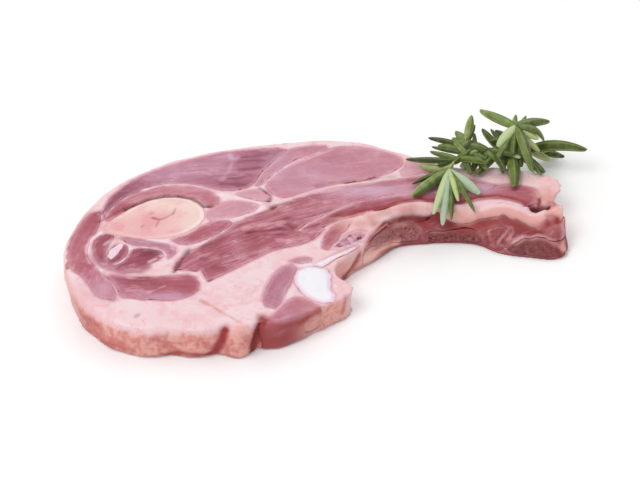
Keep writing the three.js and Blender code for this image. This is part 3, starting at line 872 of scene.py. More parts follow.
@dataclass(frozen=True)
class Grain:
    """The run of a muscle's fibres, as seen from above.

    Attributes:
        heading: Degrees from +X at the muscle's middle.
        bend: Degrees that it turns to the left over 100 mm.
    """

    heading: float = 0.0
    bend: float = 0.0

    def coordinates(self, points: np.ndarray, middle: np.ndarray) -> tuple[np.ndarray, np.ndarray]:
        """Measures points along and across the fibres.

        Args:
            points: Places in millimetres, one a row.
            middle: Where the heading holds.

        Returns:
            Two arrays of millimetres.
        """
        turn = math.radians(self.heading)
        ahead = np.array((math.cos(turn), math.sin(turn)))
        left = np.array((-math.sin(turn), math.cos(turn)))
        if not self.bend:
            away = points[:, :2] - middle[:2]
            return away @ ahead, away @ left
        radius = 100 / math.radians(self.bend)
        side = math.copysign(1, radius)
        arm = points[:, :2] - (middle[:2] + left * radius)
        angle = np.arctan2(arm @ ahead, -side * (arm @ left))
        return angle * abs(radius), side * (abs(radius) - np.linalg.norm(arm, axis=1))


@dataclass
class Chop:
    """What all the tissues share: the cut face, the CAD nodes and the marks.

    Attributes:
        lines: The marks along lines.
        spots: The marks round places.
        covered: The nodes that fat lies over where the marks are warm, and from which height.
        cover_depth: How far these draw back there.
        cover_warmth: How warm the marks are where the fat over them starts, and where it is full.
        cover_fade: How far above and below that height it fades in.
        nodes: The CAD nodes by name, but for the sprig.
        face: The upper cut face.
    """

    lines: tuple[Line, ...]
    spots: tuple[Spot, ...]
    covered: dict[str, float]
    cover_depth: float = 2.2
    cover_warmth: tuple[float, float] = (0.45, 0.75)
    cover_fade: float = 1.0
    nodes: dict[str, bpy.types.Object] = field(init=False)
    face: CutFace = field(init=False)

    def __post_init__(self) -> None:
        """Reads the frame."""
        self.nodes = {n: o for n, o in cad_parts.items() if n != SPRIG}
        self.face = CutFace(list(self.nodes.values()))

    def tints(self, skin: Skin, upper: np.ndarray) -> dict[str, np.ndarray]:
        """Works out every tint of a skin.

        Args:
            skin: The skin.
            upper: How far each of its points belongs to the upper cut face, 0 to 1.

        Returns:
            The attributes by name. What the lines and spots stand out by is in millimetres.
        """
        tints = {tint.value: np.zeros(len(skin.points)) for tint in Tint}
        for line in self.lines:
            near = line.near(skin.points) * (upper if line.flat else 1)
            tints[line.tint.value] += near * line.amount
            tints[Tint.PROUD.value] += near * line.rise
        for spot in self.spots:
            tints[spot.tint.value] += spot.near(skin.points)
        for name in set(tints) - {Tint.TONE.value, Tint.PROUD.value}:
            tints[name] = np.clip(tints[name], 0, 1)
        return tints

    def cover(self, node: str, skin: Skin, tints: dict[str, np.ndarray]) -> np.ndarray:
        """Gives how far fat lies over a covered node, 0 to 1.

        Args:
            node: The node.
            skin: A surface.
            tints: Its tints.

        Returns:
            A value for each point of the surface.
        """
        start, fade = self.covered[node], self.cover_fade
        warm = smoothstep(*self.cover_warmth, tints[Tint.PEACH.value])
        return warm * smoothstep(start - fade, start + fade, skin.points[:, 2])


@dataclass
class FatBody:
    """The fat: one skin over the whole slice, sunk where a muscle or a bone is let into it."""

    finish: FatFinish = FatFinish()
    spacing: float = 0.72
    closing: float = 0.2  # the CAD pieces are grown by this, so that they close their gaps
    crown: float = 0.45  # how far broad fat stands above its edges
    sink: float = 1.6  # under a muscle
    wall_sink: float = 0.7  # the same where the muscle shows at the rim
    under_sink: float = 0.8  # share of the depth that it has on the underside
    over: tuple[float, float] = (0.5, 0.9)  # distance to a covered muscle where it starts to sink
    soft: tuple[float, float] = (1.5, 4.0)  # the same where it stops being evened out
    soft_rounds: int = 40  # of that
    lip: tuple[float, float] = (0.15, 1.1)  # from the muscle's edge to the full depth
    film: float = 0.3  # membrane all round the rim
    filmed: tuple[float, float] = (0.1, 0.6)  # how upright it is where that starts, and is full
    upper: tuple[float, float] = (0.55, 0.9)  # share of the height where the cut face takes over
    lower: tuple[float, float] = (0.1, 0.4)  # share of it where the underside ends
    steep: tuple[float, float] = (0.35, 0.8)  # how much a wall's normal may point up
    swell: float = 0.6
    swell_size: float = 11.0
    dimples: tuple[float, float] = (0.16, 0.2)  # height anywhere, and what a wall adds
    dimple_size: float = 3.4
    rounding: float = 2.5  # how far from a muscle the fat reaches its full height
    foot: float = 0.08  # how far its underside is lifted, so that the plugs carry the chop
    lowest: float = 0.02  # that any of it lies

    def build(self, chop: Chop) -> bpy.types.Object:
        """Builds the piece that stands for the fat.

        Args:
            chop: What the tissues share.

        Returns:
            The piece.
        """
        skin = Skin("fat_body", list(chop.nodes), self.closing, self.spacing)
        skin.points[:, :2] -= skin.normals[:, :2] * self.closing
        share = chop.face.share(skin.points)
        upper = smoothstep(*self.upper, share)
        lower = 1 - smoothstep(*self.lower, share)
        wall = 1 - smoothstep(*self.steep, np.abs(skin.normals[:, 2]))
        from_fat = distances(tree_of([chop.nodes["fat"]]), skin.points)
        tissues = tree_of([o for n, o in chop.nodes.items() if n != "fat"])
        edge = np.maximum(distances(tissues, skin.points) - CLEARANCE, 0)
        tints = chop.tints(skin, upper)
        cover = np.zeros(len(share))
        soft = np.zeros(len(share))
        for node in chop.covered:
            lies = chop.cover(node, skin, tints)
            gap = distances(tree_of([chop.nodes[node]]), skin.points)
            cover = np.maximum(cover, lies * (1 - smoothstep(*self.over, gap)))
            soft = np.maximum(soft, lies * (1 - smoothstep(*self.soft, gap)))
        sunk = smoothstep(*self.lip, from_fat) * (1 - cover)

        swell = swells(skin.points, self.swell_size) * self.swell
        swell += swells(skin.points, self.dimple_size) * (self.dimples[0] + self.dimples[1] * wall)
        away = 1 - np.exp(-edge / self.rounding)
        stands = (swell + self.crown) * away + tints[Tint.PROUD.value] - sunk * self.sink
        skin.points += skin.normals * (wall * (stands + sunk * (self.sink - self.wall_sink)))[:, None]
        up = chop.face.correction(skin.points) + stands
        skin.points[:, 2] += (1 - wall) * upper * up
        skin.points[:, 2] += lower * (self.foot + sunk * self.sink * self.under_sink)
        skin.soften(soft, self.soft_rounds)
        skin.points[:, 2] = np.maximum(skin.points[:, 2], self.lowest)
        tints[Tint.MEMBRANE.value] += self.film
        tints[Tint.MEMBRANE.value] *= smoothstep(*self.filmed, wall)
        skin.store({"edge": edge, "wall": wall, "sunk": sunk, **tints})
        return skin.finish(self.finish.material("fat_body"), "fat", "fat")


@dataclass
class Plug:
    """A muscle, bone or sinew that is let into the fat.

    Attributes:
        node: The CAD node that it follows and stands for.
        finish: Its material's recipe.
        slot: The record's slot.
        grain: The run of its fibres.
        rise: How far its edge stands above the fat.
        crown: How much higher its middle stands.
        lumps: Height of the broad swells.
        strands: Height of the fibre bundles.
        recess: How far it draws back at its edges where it shows at the rim.
        grow: How far its sides are moved out, to meet the fat.
        ragged: How far they stray from there.
        soft_rounds: How often its surface is evened out.
        spacing: Between the points of its mesh.
    """

    node: str
    finish: Finish
    slot: str
    grain: Grain = Grain()
    rise: float = 0.1
    crown: float = 0.3
    lumps: float = 0.3
    strands: float = 0.1
    recess: float = 0.0
    grow: float = 0.5
    ragged: float = 0.0
    soft_rounds: int = 0
    spacing: float = 0.5

    upper = (0.6, 0.9)  # share of the height where the cut face takes over
    lower = (0.05, 0.3)  # share of it where the underside ends
    steep = (0.3, 0.75)  # how much a wall's normal may point up
    rounding = 3.0  # how far from its edge it reaches its full height
    welt = 1.5  # width of the edge that stays free of bundles, or draws back at the rim
    torn = (0.1, 0.6)  # from the edge to where its sides no longer stray
    free = (0.8, 1.8)  # distance to other tissues at which a wall counts as the rim
    swell_size = 9.0
    bulge = 0.5  # share of its swells that its wall has
    pressed = 0.1  # how far the bundles press into its underside
    brim = (0.7, 1.0)  # share of the height where the wall's colour ends

    @staticmethod
    def _bundles(along: np.ndarray, across: np.ndarray, z: np.ndarray) -> np.ndarray:
        """Gives bundles of fibres: fine ones about 1.5 mm across, and coarse ones under them."""
        fine = perlin([along / 13, across / 1.5, z / 8])
        coarse = perlin([along / 30, across / 3.2, z / 9])
        return fine + 0.5 * coarse

    def _stray(self, skin: Skin, edge: np.ndarray) -> None:
        """Moves the sides in and out where they meet other tissues, in waves of 4 mm and 1.5 mm."""
        x, y, z = skin.points.T
        stray = perlin([x / 4, y / 4, z / 9]) * 2 + perlin([x / 1.5, y / 1.5, z / 6])
        stray *= self.ragged * (1 - smoothstep(*self.torn, edge))
        skin.points[:, :2] += skin.normals[:, :2] * stray[:, None]

    def build(self, chop: Chop) -> bpy.types.Object:
        """Builds the piece.

        Args:
            chop: What the tissues share.

        Returns:
            The piece.
        """
        skin = Skin(f"{self.node}_cut", [self.node], self.grow, self.spacing)
        share = chop.face.share(skin.points)
        upper = smoothstep(*self.upper, share)
        lower = 1 - smoothstep(*self.lower, share)
        others = tree_of([o for n, o in chop.nodes.items() if n != self.node])
        edge = np.maximum(distances(others, skin.points) - CLEARANCE, 0)
        middle = np.mean(np.array(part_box(self.node)), axis=0) / MM
        along, across = self.grain.coordinates(skin.points, middle)
        tints = chop.tints(skin, upper)

        self._stray(skin, edge)
        x, y, z = skin.points.T
        inside = smoothstep(0, self.welt, edge)
        size = self.swell_size
        broad = perlin([x / size, y / size, z / size + along * 0.01]) * 2 * self.lumps
        bundles = self._bundles(along, across, z)
        relief = self.rise + self.crown * (1 - np.exp(-edge / self.rounding))
        relief += inside * (broad + bundles * 2 * self.strands)
        wall = 1 - smoothstep(*self.steep, np.abs(skin.normals[:, 2]))
        outer = wall * smoothstep(*self.free, edge)
        sideways = outer * ((broad + bundles * self.strands) * self.bulge + tints[Tint.PROUD.value])
        sideways -= wall * self.recess * np.exp(-edge / self.welt)
        skin.points += skin.normals * sideways[:, None]
        relief += (1 - wall) * tints[Tint.PROUD.value]
        skin.points[:, 2] += upper * (chop.face.correction(skin.points) + relief)
        skin.points[:, 2] += lower * inside * np.abs(bundles) * self.pressed
        if self.node in chop.covered:
            skin.points -= skin.normals * (chop.cover(self.node, skin, tints) * chop.cover_depth)[:, None]
        skin.soften(np.ones(len(share)), self.soft_rounds)
        skin.points[:, 2] = np.maximum(skin.points[:, 2], 0)
        wall = wall * (1 - smoothstep(*self.brim, share))
        skin.store({"edge": edge, "along": along, "across": across, "wall": wall, **tints})
        return skin.finish(self.finish.material(self.node), self.slot, self.node)


def muscle(node: str, flesh: Flesh, heading: float = 0.0, bend: float = 0.0, lift: float = 0.0,
           fibre: float = 0.5, marbling: float = 0.3, **sizes: float) -> Plug:
    """Describes one muscle.

    Args:
        node: Its CAD node.
        flesh: Its kind.
        heading: Of its fibres, in degrees from +X.
        bend: Degrees that they turn to the left over 100 mm.
        lift: Moves its colour towards the pale tone.
        fibre: How much its fibres show.
        marbling: How much fat runs through it.
        sizes: Any other field of a Plug.

    Returns:
        The plug.
    """
    finish = MuscleFinish(flesh, fibre=fibre, marbling=marbling, lift=lift)
    return Plug(node, finish, flesh.slot, Grain(heading, bend), **{"ragged": 0.65, **sizes})


def sawn(node: str, slot: str, tones: tuple[tuple[int, int, int], ...], looks: dict[str, float],
         **sizes: float) -> Plug:
    """Describes one sawn bone.

    Args:
        node: Its CAD node.
        slot: The record's slot.
        tones: Its ring, core, stain and speck, 0 to 255 a channel.
        looks: Any other field of a BoneFinish.
        sizes: Any other field of a Plug.

    Returns:
        The plug.
    """
    finish = BoneFinish(*(srgb(*tone) for tone in tones), **looks)
    even = {"rise": 0.0, "crown": 0.0, "lumps": 0.4, "strands": 0.0, "spacing": 0.35}
    return Plug(node, finish, slot, **{**even, **sizes})


# ---- The sprig --------------------------------------------------------------------------------


class Tone(Enum):
    """How light a leaf is, and how bluish, both 0 to 1."""

    DEEP = (0.05, 0.0)
    GREEN = (0.35, 0.06)
    OLIVE = (0.22, 0.0)
    PALE = (1.05, 0.35)
    BLUISH = (0.5, 0.9)
    YOUNG = (1.0, 0.0)


DEEP, GREEN, OLIVE, PALE, BLUISH, YOUNG = Tone


@dataclass(frozen=True)
class Leaf:
    """One needle leaf, by where it grows and how it points.

    Attributes:
        share: Of its shoot's path, where it grows.
        heading: Degrees from +X.
        pitch: Degrees up.
        length: From its foot.
        width: At its broadest.
        bow: How far its middle bows up.
        tone: Its green.
    """

    share: float
    heading: float
    pitch: float
    length: float
    width: float
    bow: float
    tone: Tone


def leaves(*rows: tuple) -> tuple[Leaf, ...]:
    """Makes leaves from rows of their values."""
    return tuple(Leaf(*row) for row in rows)


@dataclass(frozen=True)
class Shoot:
    """One shoot of the sprig: the points of its path, its thickness and its leaves."""

    path: tuple[tuple[float, float, float], ...]
    thickness: float
    leaves: tuple[Leaf, ...]

    def at(self, share: float) -> Vector:
        """Gives the point at a share of the path's length."""
        points = [Vector(p) for p in self.path]
        fine = 12
        line = [points[0]]
        for i in range(len(points) - 1):
            before, after = points[max(i - 1, 0)], points[min(i + 2, len(points) - 1)]
            for step in range(1, fine + 1):
                line.append(self._between(before, points[i], points[i + 1], after, step / fine))
        lengths = np.cumsum([0.0] + [(b - a).length for a, b in zip(line[:-1], line[1:])])
        wanted = share * lengths[-1]
        return Vector([np.interp(wanted, lengths, [p[axis] for p in line]) for axis in range(3)])

    @staticmethod
    def _between(before: Vector, start: Vector, end: Vector, after: Vector, t: float) -> Vector:
        """Gives a point of the smooth curve from start to end."""
        return 0.5 * (
            2 * start + (end - before) * t
            + (2 * before - 5 * start + 4 * end - after) * t ** 2
            + (3 * start - before - 3 * end + after) * t ** 3
        )


@dataclass
class Sprig:
    """The sprig of rosemary: its leaves in one piece and its stems in another."""

    shoots: tuple[Shoot, ...]
    leaf_sides: int = 16
    leaf_rings: int = 30
    leaf_thickness: float = 1.0
    buried: float = 0.8  # of a leaf's foot in its shoot
    facing: float = 25.0  # degrees that a leaf along X turns its upper side towards the front
    lit_side: float = 0.4  # how much lighter the half of a leaf is that faces the light
    light_from: tuple[float, float] = (-0.8, 0.5)  # X and Y of the way to the light
    uneven_light: float = 0.25  # how far the leaves differ in lightness
    twist: float = 1.2  # radians that a leaf may twist over its length
    level: float = 0.4  # share of its length where it isn't turned by that
    sway: float = 0.16  # of its length that its tip may stray sideways
    blunt: float = 0.43  # power that rounds a leaf's outline: the less, the blunter
    broadest: float = 0.9  # power that moves its broadest part: below 1, towards the foot
    groove: tuple[float, float] = (0.6, 0.2)  # depth and half width of the midrib's groove
    hollow: float = 0.5  # how far the underside is drawn in
    rolled: tuple[float, float] = (0.35, 0.45)  # how far the blade and its margins bend down
    hangs: float = 0.3  # share of its width that it reaches below its midrib
    freed: float = 6.0  # how soon along its length it has to clear the chop
    stem_sides: int = 14
    stem_rings: int = 60
    taper: float = 0.6  # share of its thickness that a shoot starts with
    bark: float = 0.25  # how rough it is
    knots: tuple[float, float] = (40.0, 2.0)  # how fine that is along it and round it
    rounded: tuple[float, float] = (12.0, 40.0)  # how soon it is full from its start and its end
    lies_above: float = 0.7  # the chop, at the least
    high: float = 60.0  # above all of it

    def build(self, chop: Chop) -> list[bpy.types.Object]:
        """Builds the two pieces.

        Args:
            chop: What the sprig lies on.

        Returns:
            The pieces.
        """
        self.ground = tree_of(list(chop.nodes.values()))
        leaves, stems = self._start(), self._start()
        for shoot in self.shoots:
            self._stem(stems, shoot)
            for leaf in shoot.leaves:
                self._leaf(leaves, shoot.at(leaf.share), leaf)
        return [
            self._end("rosemary_leaves", leaves, LeafFinish().material("rosemary_leaves")),
            self._end("rosemary_stems", stems, TwigFinish().material("rosemary_stems")),
        ]

    def _start(self) -> bmesh.types.BMesh:
        """Starts a bmesh whose points hold the attributes of the finishes."""
        bm = bmesh.new()
        for name in ("light", "bluish", "side", "over"):
            bm.verts.layers.float.new(name)
        return bm

    def _end(self, name: str, bm: bmesh.types.BMesh, material: bpy.types.Material) -> bpy.types.Object:
        """Turns a bmesh into a piece."""
        bmesh.ops.recalc_face_normals(bm, faces=bm.faces)
        mesh = bpy.data.meshes.new(name)
        bm.to_mesh(mesh)
        bm.free()
        mesh.shade_smooth()
        mesh.materials.append(material)
        piece = bpy.data.objects.new(name, mesh)
        bpy.context.scene.collection.objects.link(piece)
        return attached(piece, "rosemary", SPRIG)

    @staticmethod
    def _ball(bm: bmesh.types.BMesh, sides: int, rings: int) -> Iterator[tuple]:
        """Adds a ball, and gives each point, its share of the way along and its angle round it."""
        ball = bmesh.ops.create_uvsphere(bm, u_segments=sides, v_segments=rings, radius=1.0)
        for vert in ball["verts"]:
            share = math.acos(max(-1.0, min(1.0, vert.co.z))) / math.pi
            yield vert, share, math.atan2(vert.co.y, vert.co.x)

    def _lowest(self, point: Vector, half: float) -> float:
        """Gives how high the middle of something has to lie to clear the chop."""
        above = Vector((point.x, point.y, self.high)) * MM
        place, _, _, _ = self.ground.ray_cast(above, Vector((0, 0, -1)))
        return (place.z / MM if place else 0.0) + self.lies_above + half

    def _leaf(self, bm: bmesh.types.BMesh, root: Vector, leaf: Leaf) -> None:
        """Adds a leaf: a ball drawn out along its midrib, with rolled margins.

        Args:
            bm: Where it goes.
            root: Its foot.
            leaf: Its sizes.
        """
        turn, tilt = math.radians(leaf.heading), math.radians(leaf.pitch)
        along = Vector((math.cos(turn) * math.cos(tilt), math.sin(turn) * math.cos(tilt), math.sin(tilt)))
        flat = Vector((math.sin(turn), -math.cos(turn), 0))
        facing = math.radians(self.facing) * math.cos(turn)
        across = flat * math.cos(facing) - flat.cross(along) * math.sin(facing)
        over = across.cross(along)
        lit = self.lit_side * Vector(self.light_from).dot(across.xy)
        light, bluish = leaf.tone.value
        seed = Vector((leaf.heading, leaf.length, leaf.width)) * 0.37
        light += noise.noise(seed) * self.uneven_light
        twist = noise.noise(seed * 2) * self.twist
        sway = noise.noise(seed * 3) * leaf.length * self.sway
        layers = bm.verts.layers.float
        spines: dict[float, Vector] = {}
        for vert, share, angle in self._ball(bm, self.leaf_sides, self.leaf_rings):
            key = round(share, 4)
            if key not in spines:
                spine = root + along * (share * (leaf.length + self.buried) - self.buried)
                spine += over * (leaf.bow * 4 * share * (1 - share)) + across * (sway * share ** 2)
                lowest = self._lowest(spine, leaf.width * self.hangs)
                spine.z = max(spine.z, lowest * min(1.0, share * self.freed))
                spines[key] = spine
            ends = share in (0.0, 1.0)
            broad = 0.0 if ends else math.sin(math.pi * share ** self.broadest) ** self.blunt
            side, rise = math.cos(angle), math.sin(angle)
            groove = self.groove[0] * math.exp(-((side / self.groove[1]) ** 2))
            hollow = self.hollow * (1 - side ** 2)
            thick = rise * (1 - groove) if rise > 0 else rise * (1 - hollow)
            rolled = -self.rolled[0] * abs(side) - self.rolled[1] * abs(side) ** 3
            roll = twist * (share - self.level)
            out = side * broad * leaf.width / 2
            up = broad * (thick * self.leaf_thickness / 2 + rolled * leaf.width / 2)
            vert.co = spines[key] + across * (out * math.cos(roll) - up * math.sin(roll))
            vert.co += over * (out * math.sin(roll) + up * math.cos(roll))
            vert.co *= MM
            # Painted light: the half of a leaf that faces the light is made lighter.
            vert[layers["light"]] = light + side * lit
            vert[layers["bluish"]] = bluish
            vert[layers["side"]] = side
            vert[layers["over"]] = rise

    def _stem(self, bm: bmesh.types.BMesh, shoot: Shoot) -> None:
        """Adds a shoot's stem: a ball drawn out along its path, with a little bark.

        Args:
            bm: Where it goes.
            shoot: Its path and thickness.
        """
        up = Vector((0, 0, 1))
        layers = bm.verts.layers.float
        step = 0.01
        for vert, share, angle in self._ball(bm, self.stem_sides, self.stem_rings):
            start, end = shoot.at(max(share - step, 0)), shoot.at(min(share + step, 1))
            along = (end - start).normalized()
            across = along.cross(up).normalized()
            over = across.cross(along)
            radius = (self.taper + (1 - self.taper) * share) * shoot.thickness / 2
            fine, coarse = self.knots
            rough = noise.noise(Vector((share * fine, math.cos(angle) * coarse, math.sin(angle) * coarse)))
            radius *= 1 + self.bark * rough
            radius *= min(1.0, self.rounded[0] * share, self.rounded[1] * (1 - share)) ** 0.5
            vert.co = shoot.at(share) + (across * math.cos(angle) + over * math.sin(angle)) * radius
            vert.co *= MM
            vert[layers["light"]] = share


# ---- The studio -------------------------------------------------------------------------------


@dataclass(frozen=True)
class Lamp:
    """A soft square light, by its place, size and power."""

    name: str
    place: tuple[float, float, float]
    size: float
    power: float


@dataclass
class Studio:
    """A pale floor, soft light and the camera."""

    target: tuple[float, float, float] = (-0.0061, -0.0110, 0.008)
    distance: float = 0.7
    elevation: float = 38.0
    lens: float = 93.0
    floor_size: float = 8.0
    floor_colour: Colour = WHITE
    sky: float = 0.64
    lamps: tuple[Lamp, ...] = (
        Lamp("key", (-0.75, -0.55, 1.35), 0.9, 11.0),
        Lamp("back", (0.5, 1.0, 1.1), 1.2, 4.0),
    )

    def build(self) -> None:
        """Builds the floor, the lights and the camera."""
        scene = bpy.context.scene
        scene.view_settings.view_transform = "Standard"
        self._floor()
        self._sky(scene)
        for lamp in self.lamps:
            self._lamp(lamp)
        self._camera(scene)

    def _floor(self) -> None:
        """Lays the floor."""
        bm = bmesh.new()
        bmesh.ops.create_grid(bm, x_segments=1, y_segments=1, size=self.floor_size / 2)
        mesh = bpy.data.meshes.new("floor")
        bm.to_mesh(mesh)
        bm.free()
        g = Graph("floor")
        mesh.materials.append(g.finish({"Base Color": self.floor_colour, "Roughness": 0.9,
                                        "Specular IOR Level": 0.1}))
        floor = bpy.data.objects.new("floor", mesh)
        bpy.context.scene.collection.objects.link(floor)

    def _sky(self, scene: bpy.types.Scene) -> None:
        """Lights the scene evenly from all round."""
        world = bpy.data.worlds.new("studio")
        world.use_nodes = True
        background = world.node_tree.nodes["Background"]
        background.inputs["Color"].default_value = WHITE
        background.inputs["Strength"].default_value = self.sky
        scene.world = world

    def _lamp(self, lamp: Lamp) -> None:
        """Hangs one light, turned to the chop."""
        light = bpy.data.lights.new(lamp.name, "AREA")
        light.size = lamp.size
        light.energy = lamp.power
        holder = bpy.data.objects.new(lamp.name, light)
        holder.location = lamp.place
        holder.rotation_euler = (Vector(self.target) - holder.location).to_track_quat("-Z", "Y").to_euler()
        bpy.context.scene.collection.objects.link(holder)

    def _camera(self, scene: bpy.types.Scene) -> None:
        """Sets up the camera in front of the chop."""
        tilt = math.radians(self.elevation)
        back = Vector((0, -math.cos(tilt), math.sin(tilt))) * self.distance
        camera = bpy.data.cameras.new("camera")
        camera.lens = self.lens
        holder = bpy.data.objects.new("camera", camera)
        holder.location = Vector(self.target) + back
        holder.rotation_euler = (-back).to_track_quat("-Z", "Y").to_euler()
        scene.collection.objects.link(holder)
        scene.camera = holder


# ---- The pieces and the marks -----------------------------------------------------------------

PLUGS = (
    sawn("round_bone", "bone", ((245, 222, 214), (241, 211, 204), (230, 164, 168), (150, 66, 76)),
         {"ring_width": 1.3, "pores": 0.05}, rise=0.1, crown=0.1, lumps=0.12),
    Plug("breast_cartilage", SmoothFinish(srgb(240, 236, 243), srgb(222, 218, 230)), "cartilage",
         rise=0.2, crown=0.8, lumps=0.3, strands=0.0, ragged=0.25, spacing=0.4),
    Plug("breast_sinew", SmoothFinish(srgb(252, 238, 243), srgb(238, 204, 216), strands=0.4,
                                      stained_below=13.0),
         "sinew", Grain(45), rise=0.3, crown=0.5, lumps=0.2, ragged=0.3, recess=0.7, spacing=0.35),
    Plug("shank_sinew", SmoothFinish(srgb(244, 216, 226), srgb(222, 176, 192), strands=0.4), "sinew",
         Grain(90), rise=0.3, crown=0.2, lumps=0.2, ragged=0.5, spacing=0.35),
    sawn("neck_bone", "marrow", ((232, 190, 204), (194, 140, 158), (168, 104, 126), (104, 44, 60)),
         {"ring_width": 0.5, "pores": 1.0, "pore_size": 1.8}, rise=0.1, crown=0.1, lumps=1.2, ragged=0.5),
    muscle("shank_muscle_outer", Flesh.DARK, 75, lift=0.1),
    muscle("shank_muscle_top", Flesh.MAUVE, -10, lift=0.3, spacing=0.4),
    muscle("shank_muscle_eye", Flesh.DARK, 80, lift=0.1, spacing=0.4),
    muscle("shank_muscle_inner", Flesh.DARK, 20, spacing=0.4),
    muscle("muscle_over_bone", Flesh.ROSE, 20, bend=-60, lift=0.45, crown=0.6),
    muscle("muscle_under_bone", Flesh.ROSE, 28, bend=-20, lift=0.1, fibre=0.6),
    muscle("muscle_beside_bone", Flesh.PALE, 20, lift=0.4, fibre=0.2, marbling=0.15),
    muscle("muscle_small_back", Flesh.PALE, 10, lift=0.65, fibre=0.2, marbling=0.15),
    muscle("muscle_back_long", Flesh.MAUVE, 8, bend=-12, lift=0.1, fibre=0.5, strands=0.14),
    muscle("muscle_back_wedge", Flesh.PALE, 35, lift=0.0, fibre=0.25),
    muscle("muscle_back_right", Flesh.PALE, 10, lift=0.1, fibre=0.3),
    muscle("muscle_small_right", Flesh.PALE, -10, lift=0.55, fibre=0.3),
    muscle("muscle_outer", Flesh.ROSE, 75, bend=-30, lift=0.1, fibre=0.3),
    muscle("muscle_front", Flesh.ROSE, 0, lift=0.0, fibre=0.35),
    muscle("muscle_breast_curved", Flesh.MAUVE, 70, bend=-40, lift=0.35, fibre=0.3),
    muscle("muscle_breast_corner", Flesh.ROSE, 20, lift=0.3, fibre=0.35, strands=0.2),
    muscle("muscle_breast_sliver", Flesh.MAUVE, 0, lift=0.3, fibre=0.3, spacing=0.35),
    muscle("muscle_neck", Flesh.ROSE, 40, lift=0.1, spacing=0.4),
    muscle("muscle_rib_cover", Flesh.ROSE, 20, bend=-25, lift=0.15, fibre=0.7, strands=0.2),
    muscle("muscle_middle_long", Flesh.GRAINED, 22, bend=-20, lift=0.2, fibre=0.9, marbling=0.4, strands=0.3),
    muscle("muscle_rib", Flesh.RIB, 5, fibre=0.5, strands=0.2, ragged=0.1, rise=0.0, crown=0.1, grow=0.5,
           soft_rounds=14),
    sawn("rib_bone_first", "bone", ((196, 134, 134), (158, 94, 96), (138, 74, 78), (100, 42, 48)),
         {"ring_width": 0.2, "pores": 0.8, "pore_size": 1.2}, grow=0.8, soft_rounds=14),
    sawn("rib_bone_second", "bone", ((176, 108, 106), (128, 62, 62), (112, 48, 50), (80, 26, 32)),
         {"ring_width": 0.2, "pores": 0.9, "pore_size": 1.2}, grow=0.6, soft_rounds=8),
    sawn("rib_knuckle", "marrow", ((186, 108, 110), (148, 66, 72), (126, 48, 56), (88, 28, 36)),
         {"ring_width": 0.2, "pores": 0.7, "pore_size": 1.6}, lumps=0.7),
    sawn("rib_bone_end", "bone", ((164, 92, 94), (124, 58, 60), (106, 44, 48), (80, 26, 32)),
         {"ring_width": 0.2, "pores": 0.6, "pore_size": 1.6}, grow=0.8, soft_rounds=14),
)

